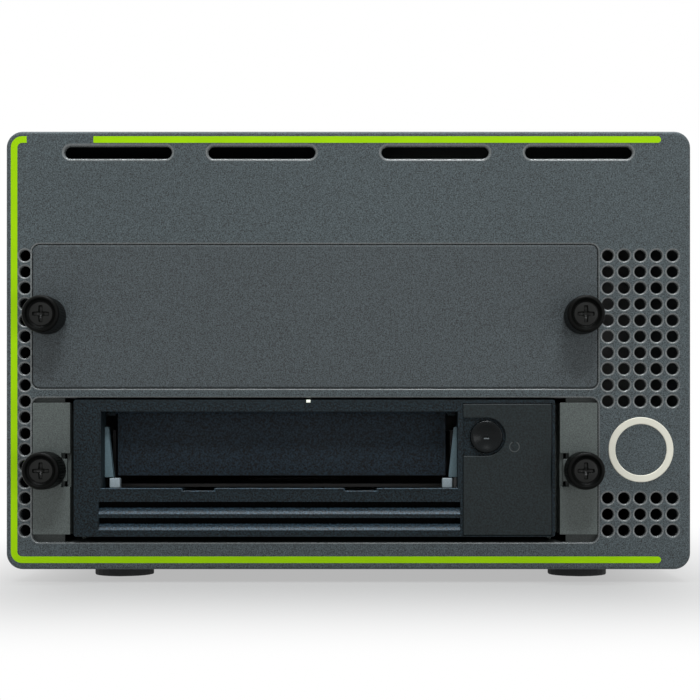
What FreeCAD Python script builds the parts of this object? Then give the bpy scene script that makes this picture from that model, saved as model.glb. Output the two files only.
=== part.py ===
"""Desktop enclosure with a half-height tape drive in its lower bay.

Lengths are millimetres.  The front panel's face is the plane y = 0 while the pieces are drawn,
the feet stand on z = 0 and x = 0 is the middle of the panel.  Each piece's Placement then moves
it back or forth by the same amount, so that the origin is the middle of the footprint.
"""

import FreeCAD, Part
import math
import os

import Sketcher
from FreeCAD import Vector

DRIVING_SIZES = {
    # Front panel and wrap
    "panel_width": 211.5, "panel_height": 135.4, "panel_sheet": 2.0, "panel_corner": 5.0,
    "panel_edge_round": 0.8, "panel_rim_depth": 8.0, "panel_rim_wall": 1.5,
    "case_inset": 0.4, "case_sheet": 1.2, "case_depth": 300.0, "seam_height": 16.0,
    "lip_height": 8.0, "lip_sheet": 1.0,
    # Slots along the top of the panel
    "slot_length": 33.1, "slot_height": 3.8, "slot_drop": 6.5,
    "slot_inner_x": 26.8, "slot_outer_x": 71.2,
    # Vent holes
    "vent_radius": 1.75, "vent_pitch": 5.0, "vent_right_x": 80.2, "vent_left_x": -100.0,
    "vent_low": 12.0, "vent_columns": 5, "vent_rows": 18, "vent_rows_below_badge": 3,
    "vent_rows_beside_badge": 5, "vent_flats": 8, "turned_flats": 24,
    # Bays and cage
    "bay_width": 175.0, "bay_height": 44.6, "bay_centre_x": -10.3, "bay_low": 8.4,
    "bay_web": 2.9, "bay_corner": 2.3, "bay_depth": 225.0, "cage_sheet": 1.2,
    "cage_flange": 9.8, "cage_top_gap": 2.0, "sheet_gap": 0.2,
    # Feet
    "foot_height": 4.0, "foot_radius": 9.5, "foot_x": 74.0, "foot_inset": 30.0,
    # Thumbscrews
    "knob_radius": 5.7, "knob_length": 12.0, "knob_gap": 0.3,
    "head_radius": 3.2, "head_recess": 1.2, "head_gap": 0.05,
    "shank_radius": 1.9, "shank_reach": 6.0, "shank_gap": 0.05, "clearance_hole": 2.2,
    "thumb_span": 164.8, "cross_width": 1.0, "cross_length": 4.0, "cross_depth": 1.4,
    # Blank plate
    "plate_return": 7.0,
    # Rail brackets
    "ear_low": 2.4, "ear_height": 40.7, "ear_width": 11.6, "ear_throw": 12.0,
    "rail_sheet": 1.2, "rail_length": 200.0, "notch_height": 10.3, "notch_width": 2.8,
    "tab_height": 6.9, "tab_width": 1.8,
    # Drive casting and lid
    "drive_centre_x": -10.45, "drive_width": 146.0, "drive_depth": 212.0, "drive_height": 41.0,
    "drive_rise": 2.4, "drive_wall": 1.5, "deck_rise": 3.2, "lid_sheet": 0.8, "lid_return": 5.0,
    # Bezel
    "bezel_width": 148.3, "bezel_height": 42.2, "bezel_rise": 1.8, "bezel_proud": 1.5,
    "bezel_skin": 2.0, "bezel_depth": 6.0, "bezel_wall": 1.5, "bezel_corner": 0.8,
    "mouth_width": 110.0, "mouth_height": 23.8, "mouth_centre_x": -21.2, "mouth_rise": 14.8,
    "mouth_notch_width": 10.2, "mouth_notch_depth": 0.8, "mouth_notch_pitch": 50.0,
    "louvre_length": 111.5, "louvre_height": 3.8, "louvre_pitch": 4.95, "louvre_rise": 2.0,
    "louvre_ledge": 1.5,
    "insert_width": 27.3, "insert_height": 40.6, "insert_rise": 0.4, "insert_edge": 1.0,
    "insert_thick": 1.0, "insert_gap": 0.15,
    "light_x": -12.3, "light_width": 1.4, "light_height": 0.9, "light_gap": 0.05,
    # Eject button
    "button_radius": 5.0, "button_inset": 7.2, "button_rise": 30.8, "button_dome": 1.2,
    "button_gap": 0.1, "button_ring_gap": 0.85,
    # Cartridge door
    "door_width": 103.0, "door_height": 20.4, "door_thick": 1.5, "door_set_back": 9.5,
    "barrel_radius": 1.2, "barrel_gap": 0.05, "barrel_rise": 0.4, "barrel_margin": 0.5,
    "lug_width": 2.5, "lug_margin": 1.6,
    # Guides inside the mouth
    "tip_width": 3.2, "tip_height": 3.1, "tip_depth": 3.0, "tip_inset": 1.5,
    "strip_foot": 2.7, "strip_top": 1.0, "strip_height": 15.8, "strip_depth": 2.6,
    "strip_rise": 3.3, "tunnel_wall": 1.2, "tunnel_depth": 8.0, "part_gap": 0.1,
    # Cartridge space and loader
    "cartridge_width": 105.4, "cartridge_depth": 102.0,
    "cartridge_play": 0.4, "carrier_sheet": 1.0, "carrier_drop": 5.5, "carrier_front": 15.0,
    "carrier_wall": 18.0, "carrier_window": 16.0,
    "carrier_pin_radius": 1.5, "carrier_pin_gap": 0.1, "carrier_pin_rise": 12.0,
    "carrier_pin_length": 2.6, "cam_run": 11.0, "cam_sheet": 1.2, "cam_gap": 0.3,
    "cam_margin": 5.0, "loader_motor_radius": 6.0, "loader_motor_length": 24.0,
    # Reels and head
    "hub_radius": 11.0, "hub_height": 2.2, "spindle_radius": 3.0, "spindle_height": 1.2,
    "motor_radius": 16.0, "motor_height": 2.8,
    "reel_radius": 26.0, "reel_core_radius": 18.0, "reel_height": 16.0, "reel_flange": 1.2,
    "reel_x": -40.0, "reel_y": 168.0, "reel_gap": 0.2,
    "head_x": 22.0, "head_y": 142.0, "head_width": 30.0, "head_depth": 9.0, "head_height": 12.0,
    "post_width": 4.0, "post_height": 30.0, "head_foot": 3.0,
    "board_sheet": 1.6, "board_gap": 0.3, "board_margin": 6.0,
    "connector_width": 60.0, "connector_height": 9.0, "connector_depth": 6.0,
    "tongue_height": 2.0, "tongue_length": 3.0, "tongue_margin": 3.0, "connector_rise": 10.0,
    # Rear
    "rear_recess": 6.0, "rear_sheet": 1.5, "rear_flange": 10.0, "fan_side": 80.0,
    "fan_depth": 25.0, "fan_centre_x": 48.0, "fan_centre_z": 84.0, "fan_bore_radius": 38.0,
    "fan_hub_radius": 16.0, "fan_tip_gap": 1.2, "fan_blades": 7, "fan_blade_sheet": 1.6,
    "fan_blade_pitch": 9.0, "fan_strut": 4.0, "fan_rotor_gap": 0.5, "fan_strut_depth": 3.0,
    "grille_slot": 5.0, "grille_pitch": 8.4, "grille_rows": 8,
    "inlet_x": -72.0, "inlet_z": 104.0, "inlet_width": 30.0, "inlet_height": 23.0,
    "inlet_depth": 24.0, "inlet_flange": 2.5, "inlet_lip": 2.0, "cavity_width": 24.5,
    "cavity_height": 16.5, "cavity_depth": 17.0, "cavity_bevel": 5.0,
    "blade_width": 2.0, "blade_height": 4.0, "blade_length": 12.0, "blade_spread": 7.0,
    "blade_rise": 2.0,
    "switch_x": -38.0, "switch_width": 15.0, "switch_height": 21.0, "switch_depth": 16.0,
    "switch_wall": 1.2, "switch_floor": 2.0, "rocker_gap": 0.3, "rocker_wing": 7.6,
    "rocker_face": 3.0, "rocker_back": 3.0, "rocker_barrel": 1.5, "barrel_bite": 0.6,
    "rocker_throw": 22.0, "rocker_thick": 2.4,
    "port_x": 28.0, "port_z": 24.0, "port_pitch": 20.0, "port_width": 9.0, "port_height": 3.2,
    "port_depth": 10.0, "port_shell": 0.4, "port_proud": 0.5, "port_count": 3,
    "card_clearance": 18.0,
    "card_left": 12.0, "card_right": 84.0,
    "supply_left": -98.0, "supply_width": 92.0, "supply_height": 60.0, "supply_front": 236.0,
    "backplane_margin": 3.0,
}

document = FreeCAD.newDocument("DataTapeDrive")
sheet = document.addObject("Spreadsheet::Sheet", "Sizes")
for row, (word, length) in enumerate(DRIVING_SIZES.items(), start=1):
    sheet.set(f"A{row}", word)
    sheet.set(f"B{row}", str(length))
    sheet.setAlias(f"B{row}", word)
document.recompute()


class Size:
    """A length worked out from the sheet: its number now, and the expression that keeps it so."""

    def __init__(self, number, text):
        self.number = number
        self.text = text

    @staticmethod
    def of(length):
        """Return a plain number as a Size, and a Size as it is."""
        return length if isinstance(length, Size) else Size(float(length), repr(float(length)))

    def joined(self, sign, other, number):
        return Size(number, f"({self.text} {sign} {other.text})")

    def __add__(self, other):
        other = Size.of(other)
        return self.joined("+", other, self.number + other.number)

    def __sub__(self, other):
        other = Size.of(other)
        return self.joined("-", other, self.number - other.number)

    def __mul__(self, other):
        other = Size.of(other)
        return self.joined("*", other, self.number * other.number)

    def __truediv__(self, other):
        other = Size.of(other)
        return self.joined("/", other, self.number / other.number)

    def __radd__(self, other):
        return Size.of(other) + self

    def __rsub__(self, other):
        return Size.of(other) - self

    def __rmul__(self, other):
        return Size.of(other) * self

    def __neg__(self):
        return Size(-self.number, f"(0 - {self.text})")

    def root(self):
        return Size(math.sqrt(self.number), f"sqrt({self.text})")

    def cosine(self):
        """Return the cosine of a size in degrees."""
        return Size(math.cos(math.radians(self.number)), f"cos({self.text})")

    def sine(self):
        """Return the sine of a size in degrees."""
        return Size(math.sin(math.radians(self.number)), f"sin({self.text})")


class Sheet:
    """The sheet's cells by name, each as a Size."""

    def __getattr__(self, word):
        return Size(float(DRIVING_SIZES[word]), f"Sizes.{word}")


s = Sheet()


def bind(owner, path, length):
    """Tie one property of an object to the sheet."""
    owner.setExpression(path, Size.of(length).text)


class Outline:
    """A sketch on one of a body's own origin planes, fixed from the origin by its sizes.

    The first sketch direction is X on the XY and XZ planes and Y on the YZ plane.
    """

    def __init__(self, body, plane, level):
        self.sketch = body.newObject("Sketcher::SketchObject", "Outline")
        self.sketch.AttachmentSupport = [(origin_feature(body, plane + "_Plane"), "")]
        self.sketch.MapMode = "FlatFace"
        bind(self.sketch, "AttachmentOffset.Base.z", -Size.of(level) if plane == "XZ" else level)

    def fix(self, kind, number, *places):
        """Add one constraint whose value follows the sheet."""
        size = Size.of(number)
        index = self.sketch.addConstraint(Sketcher.Constraint(kind, *places, size.number))
        self.sketch.setExpression(f"Constraints[{index}]", size.text)

    def hold(self, geometry, point, across, up):
        """Fix a point of the sketch from the origin."""
        self.fix("DistanceX", across, -1, 1, geometry, point)
        self.fix("DistanceY", up, -1, 1, geometry, point)

    def polygon(self, points):
        """Draw straight lines from point to point and back to the first."""
        points = [(Size.of(across), Size.of(up)) for across, up in points]
        first = self.sketch.GeometryCount
        count = len(points)
        for index in range(count):
            ends = (points[index], points[(index + 1) % count])
            start, end = (Vector(across.number, up.number, 0) for across, up in ends)
            self.sketch.addGeometry(Part.LineSegment(start, end), False)
        for index in range(count):
            self.sketch.addConstraint(
                Sketcher.Constraint("Coincident", first + index, 2, first + (index + 1) % count, 1))
            self.hold(first + index, 1, *points[index])
        return self

    def box(self, left, right, low, high):
        return self.polygon([(left, low), (right, low), (right, high), (left, high)])

    def circle(self, across, up, radius):
        across, up, radius = Size.of(across), Size.of(up), Size.of(radius)
        centre = Vector(across.number, up.number, 0)
        shape = Part.Circle(centre, Vector(0, 0, 1), radius.number)
        index = self.sketch.addGeometry(shape, False)
        self.hold(index, 3, across, up)
        self.fix("Radius", radius, index)
        return self

    def flats(self, across, up, radius, count):
        """Draw a regular polygon whose corners lie on a circle."""
        turns = [2 * math.pi * (index + 0.5) / count for index in range(int(count))]
        return self.polygon([(across + radius * math.cos(turn), up + radius * math.sin(turn))
                             for turn in turns])

    def chain(self, corners):
        """Draw tangent lines and arcs round a list of (centre across, centre up, radius).

        The corners go anticlockwise, and the outline is the taut band round their circles.
        """
        corners = [tuple(Size.of(value) for value in corner) for corner in corners]
        count = len(corners)
        normals = []
        for index in range(count):
            start, end = corners[index], corners[(index + 1) % count]
            heading = math.atan2(end[1].number - start[1].number, end[0].number - start[0].number)
            normals.append(heading - math.pi / 2)
        first = self.sketch.GeometryCount
        for index, (across, up, radius) in enumerate(corners):
            circle = Part.Circle(Vector(across.number, up.number, 0), Vector(0, 0, 1), radius.number)
            before, after = normals[index - 1], normals[index]
            while after < before:
                after += 2 * math.pi
            self.sketch.addGeometry(Part.ArcOfCircle(circle, before, after), False)
            following = corners[(index + 1) % count]
            lean = Vector(math.cos(after), math.sin(after), 0) * radius.number
            start = Vector(across.number, up.number, 0) + lean
            end = Vector(following[0].number, following[1].number, 0) + lean
            self.sketch.addGeometry(Part.LineSegment(start, end), False)
        for index, (across, up, radius) in enumerate(corners):
            arc, line = first + 2 * index, first + 2 * index + 1
            following = first + 2 * ((index + 1) % count)
            self.sketch.addConstraint(Sketcher.Constraint("Tangent", arc, 2, line, 1))
            self.sketch.addConstraint(Sketcher.Constraint("Tangent", line, 2, following, 1))
            self.hold(arc, 3, across, up)
            self.fix("Radius", radius, arc)
        return self

    def slot(self, start_across, start_up, end_across, end_up, radius):
        """Draw a round-ended slot from one centre to the other."""
        return self.chain([(start_across, start_up, radius), (end_across, end_up, radius)])

    def rounded_box(self, left, right, low, high, radius):
        inner_left, inner_right = left + radius, right - radius
        inner_low, inner_high = low + radius, high - radius
        return self.chain([(inner_left, inner_low, radius), (inner_right, inner_low, radius),
                           (inner_right, inner_high, radius), (inner_left, inner_high, radius)])


def origin_feature(body, role):
    """Return one of a body's own origin planes or axes."""
    return next(feature for feature in body.Origin.OriginFeatures if feature.Role == role)


KNOB_REACH = s.knob_gap + s.knob_length
VENT_FLATS, TURNED_FLATS = DRIVING_SIZES["vent_flats"], DRIVING_SIZES["turned_flats"]
SHIFT = (KNOB_REACH - s.case_depth) / 2
PIECES = []


class Piece:
    """One physical piece: a body, its features, and the label that names its file."""

    def __init__(self, label, across=0, back=0, up=0):
        self.body = document.addObject("PartDesign::Body", label.title().replace("_", ""))
        self.body.Label = label
        bind(self.body, "Placement.Base.x", across)
        bind(self.body, "Placement.Base.y", SHIFT + back)
        bind(self.body, "Placement.Base.z", up)
        PIECES.append(self.body)

    def extrude(self, kind, plane, start, end, reverse):
        outline = Outline(self.body, plane, start)
        feature = self.body.newObject(kind, "Step")
        feature.Profile = outline.sketch
        feature.Reversed = reverse
        bind(feature, "Length", Size.of(end) - start)
        self.body.Tip = feature
        return outline

    def pad(self, plane, start, end):
        """Add material from start to end along the axis square to the plane."""
        return self.extrude("PartDesign::Pad", plane, start, end, plane == "XZ")

    def cut(self, plane, start, end):
        """Take material away from start to end along the axis square to the plane."""
        return self.extrude("PartDesign::Pocket", plane, start, end, plane != "XZ")

    def chamfer(self, size, choose):
        """Bevel the edges of the last step that a test picks."""
        document.recompute()
        base = self.body.Tip
        names = [f"Edge{index}" for index, edge in enumerate(base.Shape.Edges, start=1) if choose(edge)]
        feature = self.body.newObject("PartDesign::Chamfer", "Bevel")
        feature.Base = (base, names)
        bind(feature, "Size", size)
        self.body.Tip = feature

    def repeat(self, directions):
        """Repeat the last step in a row or a grid: (axis, spacing, count) for each direction."""
        original = self.body.Tip
        document.recompute()
        pattern = self.body.newObject("PartDesign::LinearPattern", "Row")
        pattern.Originals = [original]
        for suffix, (axis, spacing, count) in zip(("", "2"), directions):
            setattr(pattern, "Direction" + suffix, (origin_feature(self.body, axis + "_Axis"), [""]))
            setattr(pattern, "Mode" + suffix, "Spacing")
            bind(pattern, "Occurrences" + suffix, count)
            bind(pattern, "Offset" + suffix, spacing)
        self.body.Tip = pattern
        document.recompute()

    def ring_repeat(self, axis, count):
        """Repeat the last step evenly round an axis."""
        original = self.body.Tip
        document.recompute()
        pattern = self.body.newObject("PartDesign::PolarPattern", "Ring")
        pattern.Originals = [original]
        pattern.Axis = (origin_feature(self.body, axis + "_Axis"), [""])
        pattern.Angle = 360
        bind(pattern, "Occurrences", count)
        self.body.Tip = pattern
        document.recompute()


def on_plane(axis, level):
    """Return a test that picks the edges lying wholly in the plane where an axis has one level."""
    def chosen(edge):
        box = edge.BoundBox
        low, high = getattr(box, axis + "Min"), getattr(box, axis + "Max")
        return abs(low - level) < 0.01 and abs(high - level) < 0.01
    return chosen


# Shared levels --------------------------------------------------------------------------------

panel_low = s.foot_height
panel_high = panel_low + s.panel_height
panel_right = s.panel_width / 2
panel_left = -panel_right

case_left, case_right = panel_left + s.case_inset, panel_right - s.case_inset
case_low, case_high = panel_low + s.case_inset, panel_high - s.case_inset
case_corner = s.panel_corner - s.case_inset
inner_left, inner_right = case_left + s.case_sheet, case_right - s.case_sheet
inner_low, inner_high = case_low + s.case_sheet, case_high - s.case_sheet
inner_corner = case_corner - s.case_sheet
seam = panel_low + s.seam_height

bay_left = s.bay_centre_x - s.bay_width / 2
bay_right = s.bay_centre_x + s.bay_width / 2
lower_bay_low = panel_low + s.bay_low
lower_bay_high = lower_bay_low + s.bay_height
upper_bay_low = lower_bay_high + s.bay_web
upper_bay_high = upper_bay_low + s.bay_height
cage_back = s.panel_sheet + s.cage_sheet
cage_top = upper_bay_high + s.cage_top_gap + s.cage_sheet
flange_left, flange_right = bay_left + s.cage_flange, bay_right - s.cage_flange

thumb_left = s.bay_centre_x - s.thumb_span / 2
thumb_right = s.bay_centre_x + s.thumb_span / 2
lower_thumb_z = lower_bay_low + s.bay_height / 2
upper_thumb_z = upper_bay_low + s.bay_height / 2

rear_face = s.case_depth - s.rear_recess
rear_inside = rear_face - s.rear_sheet
rocker_y = rear_face + s.inlet_flange - s.rocker_face
card_low = s.port_z - s.port_height / 2 - s.board_sheet
card_front = s.bay_depth + s.board_sheet + s.card_clearance
port_places = [s.port_x + s.port_pitch * index for index in range(DRIVING_SIZES["port_count"])]


# Enclosure ------------------------------------------------------------------------------------

def make_front_panel():
    """Bent panel with a rim, two bay openings, four slots and the vent holes."""
    panel = Piece("front_panel")
    panel.pad("XZ", 0, s.panel_sheet).rounded_box(
        panel_left, panel_right, panel_low, panel_high, s.panel_corner)
    wall = s.panel_rim_wall
    rim = panel.pad("XZ", s.panel_sheet, s.panel_rim_depth)
    rim.rounded_box(panel_left, panel_right, panel_low, panel_high, s.panel_corner)
    rim.rounded_box(panel_left + wall, panel_right - wall, panel_low + wall, panel_high - wall,
                    s.panel_corner - wall)
    panel.chamfer(s.panel_edge_round, on_plane("Y", 0))
    for low, high in ((lower_bay_low, lower_bay_high), (upper_bay_low, upper_bay_high)):
        panel.cut("XZ", 0, s.panel_sheet).rounded_box(bay_left, bay_right, low, high, s.bay_corner)
    slots = panel.cut("XZ", 0, s.panel_sheet)
    radius = s.slot_height / 2
    reach = s.slot_length / 2 - radius
    slot_z = panel_high - s.slot_drop
    for centre in (-s.slot_outer_x, -s.slot_inner_x, s.slot_inner_x, s.slot_outer_x):
        slots.slot(centre - reach, slot_z, centre + reach, slot_z, radius)
    low = panel_low + s.vent_low
    rows_above = s.vent_rows - s.vent_rows_below_badge - s.vent_rows_beside_badge
    above = low + (s.vent_rows_below_badge + s.vent_rows_beside_badge) * s.vent_pitch
    panel.cut("XZ", 0, s.panel_sheet).flats(s.vent_left_x, low, s.vent_radius, VENT_FLATS)
    panel.repeat([("Z", s.vent_pitch, s.vent_rows)])
    for start, rows in ((low, s.vent_rows_below_badge), (above, rows_above)):
        panel.cut("XZ", 0, s.panel_sheet).flats(s.vent_right_x, start, s.vent_radius, VENT_FLATS)
        panel.repeat([("X", s.vent_pitch, s.vent_columns), ("Z", s.vent_pitch, rows)])


def wrap_ring(piece, start, end):
    """Draw the case's hollow section between two depths."""
    ring = piece.pad("XZ", start, end)
    ring.rounded_box(case_left, case_right, case_low, case_high, case_corner)
    ring.rounded_box(inner_left, inner_right, inner_low, inner_high, inner_corner)


def make_cover_and_tray():
    """The case's wrap, parted at the seam into a cover above and a tray below."""
    cover = Piece("top_cover")
    wrap_ring(cover, s.panel_rim_depth, s.case_depth)
    cover.cut("XZ", s.panel_rim_depth, s.case_depth).box(panel_left, panel_right, 0, seam)
    tray = Piece("base_tray")
    wrap_ring(tray, s.panel_rim_depth, s.case_depth)
    tray.cut("XZ", s.panel_rim_depth, s.case_depth).box(
        panel_left, panel_right, seam, panel_high + s.foot_height)
    lips = tray.pad("XZ", cage_back + s.panel_rim_depth, rear_inside - s.rear_flange - s.sheet_gap)
    lip_low, lip_high = seam - s.lip_height, seam + s.lip_height
    lips.box(inner_left, inner_left + s.lip_sheet, lip_low, lip_high)
    lips.box(inner_right - s.lip_sheet, inner_right, lip_low, lip_high)
    posts = tray.pad("XY", inner_low, card_low)
    post = s.post_width
    for near in (s.card_left, s.card_right - post):
        posts.box(near, near + post, card_front, card_front + post)
        posts.box(near, near + post, rear_inside - s.rear_flange - 2 * post,
                  rear_inside - s.rear_flange - post)


def make_rear_panel():
    """Tray-shaped back plate with a slotted fan grille and the cut-outs for the sockets."""
    panel = Piece("rear_panel")
    gap = s.sheet_gap / 2
    edges = (inner_left + gap, inner_right - gap, inner_low + gap, inner_high - gap)
    corner = inner_corner - gap
    panel.pad("XZ", rear_inside, rear_face).rounded_box(*edges, corner)
    rim = panel.pad("XZ", rear_inside - s.rear_flange, rear_inside)
    rim.rounded_box(*edges, corner)
    wall = s.rear_sheet
    rim.rounded_box(edges[0] + wall, edges[1] - wall, edges[2] + wall, edges[3] - wall, corner - wall)
    grille = panel.cut("XZ", rear_inside, rear_face)
    radius = s.grille_slot / 2
    for index in range(int(DRIVING_SIZES["grille_rows"])):
        rise = (index - (s.grille_rows - 1) / 2) * s.grille_pitch
        reach = (s.fan_bore_radius * s.fan_bore_radius - rise * rise).root() - 2 * radius
        level = s.fan_centre_z + rise
        grille.box(s.fan_centre_x - reach, s.fan_centre_x + reach, level - radius, level + radius)
    sockets = panel.cut("XZ", rear_inside, rear_face)
    for middle, width, height in ((s.inlet_x, s.inlet_width, s.inlet_height),
                                  (s.switch_x, s.switch_width, s.switch_height)):
        sockets.box(middle - width / 2 - gap, middle + width / 2 + gap,
                    s.inlet_z - height / 2 - gap, s.inlet_z + height / 2 + gap)
    for across in port_places:
        sockets.box(across - s.port_width / 2 - gap, across + s.port_width / 2 + gap,
                    s.port_z - s.port_height / 2 - gap, s.port_z + s.port_height / 2 + gap)


def make_bay_walls():
    """Left and right cage walls, each with a front flange and folded top and bottom edges."""
    sides = (("bay_wall_left", bay_left, bay_left + s.cage_sheet, bay_left, flange_left, thumb_left),
             ("bay_wall_right", bay_right - s.cage_sheet, bay_right, flange_right, bay_right,
              thumb_right))
    for label, near, far, flange_near, flange_far, thumb in sides:
        wall = Piece(label)
        wall.pad("YZ", near, far).box(s.panel_sheet, s.bay_depth, inner_low, cage_top)
        wall.pad("XZ", s.panel_sheet, cage_back).box(flange_near, flange_far, inner_low, cage_top)
        edges = wall.pad("XZ", cage_back, s.bay_depth)
        edges.box(flange_near, flange_far, cage_top - s.cage_sheet, cage_top)
        edges.box(flange_near, flange_far, inner_low, inner_low + s.cage_sheet)
        holes = wall.cut("XZ", s.panel_sheet, cage_back)
        holes.circle(thumb, lower_thumb_z, s.shank_radius + s.shank_gap)
        holes.circle(thumb, upper_thumb_z, s.shank_radius + s.shank_gap)


def make_shelves():
    """The lower bay's floor and the divider between the bays."""
    left, right = bay_left + s.cage_sheet, bay_right - s.cage_sheet
    lip_left, lip_right = flange_left + s.sheet_gap, flange_right - s.sheet_gap
    floor = Piece("bay_floor_shelf")
    floor_low = lower_bay_low - s.cage_sheet
    floor.pad("XY", floor_low, lower_bay_low).box(left, right, cage_back, s.bay_depth)
    floor.pad("XZ", s.panel_sheet, cage_back).box(lip_left, lip_right, inner_low, lower_bay_low)
    divider = Piece("bay_divider_shelf")
    divider_low = lower_bay_high + (s.bay_web - s.cage_sheet) / 2
    divider_high = divider_low + s.cage_sheet
    divider.pad("XY", divider_low, divider_high).box(left, right, cage_back, s.bay_depth)
    divider.pad("XZ", s.panel_sheet, cage_back).box(
        lip_left, lip_right, lower_bay_high + s.sheet_gap, upper_bay_low - s.sheet_gap)


def make_feet():
    """Four round rubber feet, one node as they are alike and fixed."""
    feet = Piece("rubber_feet")
    outline = feet.pad("XY", 0, case_low)
    rear_y = s.case_depth - s.foot_inset
    for across in (-s.foot_x, s.foot_x):
        for back in (s.foot_inset, rear_y):
            outline.flats(across, back, s.foot_radius, TURNED_FLATS)


def make_blank_plate():
    """Plate that closes the upper bay, stiffened by a return along its top and bottom."""
    plate = Piece("blank_plate")
    gap = s.sheet_gap
    left, right = bay_left + gap, bay_right - gap
    low, high = upper_bay_low + gap, upper_bay_high - gap
    plate.pad("XZ", 0, s.panel_sheet).rounded_box(left, right, low, high, s.bay_corner - gap)
    returns = plate.pad("XZ", s.panel_sheet, s.panel_sheet + s.plate_return)
    inside_left, inside_right = flange_left + gap, flange_right - gap
    returns.box(inside_left, inside_right, low + gap, low + gap + s.cage_sheet)
    returns.box(inside_left, inside_right, high - gap - s.cage_sheet, high - gap)
    holes = plate.cut("XZ", 0, s.panel_sheet)
    holes.flats(thumb_left, upper_thumb_z, s.clearance_hole, TURNED_FLATS / 2)
    holes.flats(thumb_right, upper_thumb_z, s.clearance_hole, TURNED_FLATS / 2)


def make_thumbscrews():
    """A ribbed knob pressed on the long head of its cross-recess screw, at each corner."""
    places = (("upper_left", thumb_left, upper_thumb_z), ("upper_right", thumb_right, upper_thumb_z),
              ("lower_left", thumb_left, lower_thumb_z), ("lower_right", thumb_right, lower_thumb_z))
    front = -KNOB_REACH
    head_front = front + s.head_recess
    for place, across, up in places:
        knob = Piece("knob_" + place, across, 0, up)
        grip = knob.pad("XZ", front, -s.knob_gap)
        grip.flats(0, 0, s.knob_radius, TURNED_FLATS)
        grip.flats(0, 0, s.head_radius + s.head_gap, TURNED_FLATS)
        screw = Piece("screw_" + place, across, 0, up)
        screw.pad("XZ", head_front, -s.knob_gap).flats(0, 0, s.head_radius, TURNED_FLATS)
        screw.pad("XZ", -s.knob_gap, s.shank_reach).flats(0, 0, s.shank_radius, TURNED_FLATS / 2)
        half, reach = s.cross_width / 2, s.cross_length / 2
        screw.cut("XZ", head_front, head_front + s.cross_depth).polygon([
            (-reach, -half), (-half, -half), (-half, -reach), (half, -reach),
            (half, -half), (reach, -half), (reach, half), (half, half),
            (half, reach), (-half, reach), (-half, half), (-reach, half)])


# Drive module ---------------------------------------------------------------------------------

drive_low = lower_bay_low + s.drive_rise
drive_high = drive_low + s.drive_height
drive_left = s.drive_centre_x - s.drive_width / 2
drive_right = s.drive_centre_x + s.drive_width / 2
deck_low = drive_low + s.deck_rise
deck = deck_low + s.drive_wall
cavity_left, cavity_right = drive_left + s.drive_wall, drive_right - s.drive_wall
lid_low = drive_high - s.lid_sheet
drive_front = s.bezel_depth - s.bezel_proud
drive_rear = drive_front + s.drive_depth - s.bezel_depth

bezel_left = s.drive_centre_x - s.bezel_width / 2
bezel_right = s.drive_centre_x + s.bezel_width / 2
bezel_low = lower_bay_low + s.bezel_rise
bezel_high = bezel_low + s.bezel_height
bezel_front = -s.bezel_proud
skin_back = bezel_front + s.bezel_skin

mouth_left = s.mouth_centre_x - s.mouth_width / 2
mouth_right = s.mouth_centre_x + s.mouth_width / 2
mouth_low = bezel_low + s.mouth_rise
mouth_high = mouth_low + s.mouth_height
door_y = s.door_set_back
door_z = mouth_high + s.barrel_rise
barrel_half = s.mouth_width / 2 - s.barrel_margin
lug_left = s.mouth_centre_x - barrel_half - s.part_gap
lug_right = s.mouth_centre_x + barrel_half + s.part_gap

insert_right = bezel_right - s.insert_edge
insert_left = insert_right - s.insert_width
insert_low = bezel_low + s.insert_rise
insert_high = insert_low + s.insert_height
button_x = insert_left + s.button_inset
button_z = bezel_low + s.button_rise

carrier_left = s.mouth_centre_x - s.cartridge_width / 2 - s.cartridge_play - s.carrier_sheet
carrier_right = s.mouth_centre_x + s.cartridge_width / 2 + s.cartridge_play + s.carrier_sheet
carrier_low = mouth_low
carrier_back = s.carrier_front + s.cartridge_depth
hub_y = s.carrier_front + s.cartridge_depth / 2
cam_pins = (s.carrier_front + s.cartridge_depth / 4, s.carrier_front + s.cartridge_depth * 3 / 4)
cam_pin_z = carrier_low + s.carrier_pin_rise

connector_z = drive_low + s.connector_rise + s.connector_height / 2


def make_rail_brackets():
    """Folded brackets: an ear in front, a step round the bezel, and a rail beside the drive."""
    rail_back = drive_front + s.rail_length
    ear_low = lower_bay_low + s.ear_low
    ear_high = ear_low + s.ear_height
    ear_mid = lower_thumb_z
    sheet_thick = s.rail_sheet
    for label, edge, side, thumb, out in (
            ("rail_bracket_left", bay_left + s.sheet_gap, drive_left, thumb_left, 1),
            ("rail_bracket_right", bay_right - s.sheet_gap, drive_right, thumb_right, -1)):
        bracket = Piece(label)
        step = edge + out * s.ear_width
        rail_outer = side - out * sheet_thick
        profile = bracket.pad("XY", ear_low, ear_high)
        profile.polygon([
            (edge, 0), (step, 0), (step, s.ear_throw - sheet_thick),
            (side, s.ear_throw - sheet_thick), (side, rail_back), (rail_outer, rail_back),
            (rail_outer, s.ear_throw), (step - out * sheet_thick, s.ear_throw),
            (step - out * sheet_thick, s.panel_sheet), (edge, s.panel_sheet)])
        skid = bracket.pad("YZ", *sorted((rail_outer, side), key=lambda size: size.number))
        skid.box(s.ear_throw, rail_back, lower_bay_low + s.sheet_gap, ear_low)
        notch = bracket.cut("XZ", 0, s.panel_sheet)
        inner = sorted((step - out * s.notch_width, step), key=lambda size: size.number)
        notch.box(*inner, ear_mid - s.notch_height / 2, ear_mid + s.notch_height / 2)
        tab = bracket.pad("XZ", 0, s.panel_sheet)
        ends = sorted((step - out * s.notch_width, step - out * (s.notch_width - s.tab_width)),
                      key=lambda size: size.number)
        tab.box(*ends, ear_mid - s.tab_height / 2, ear_mid + s.tab_height / 2)
        bracket.cut("XZ", 0, s.panel_sheet).flats(
            thumb, lower_thumb_z, s.clearance_hole, TURNED_FLATS / 2)


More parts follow.
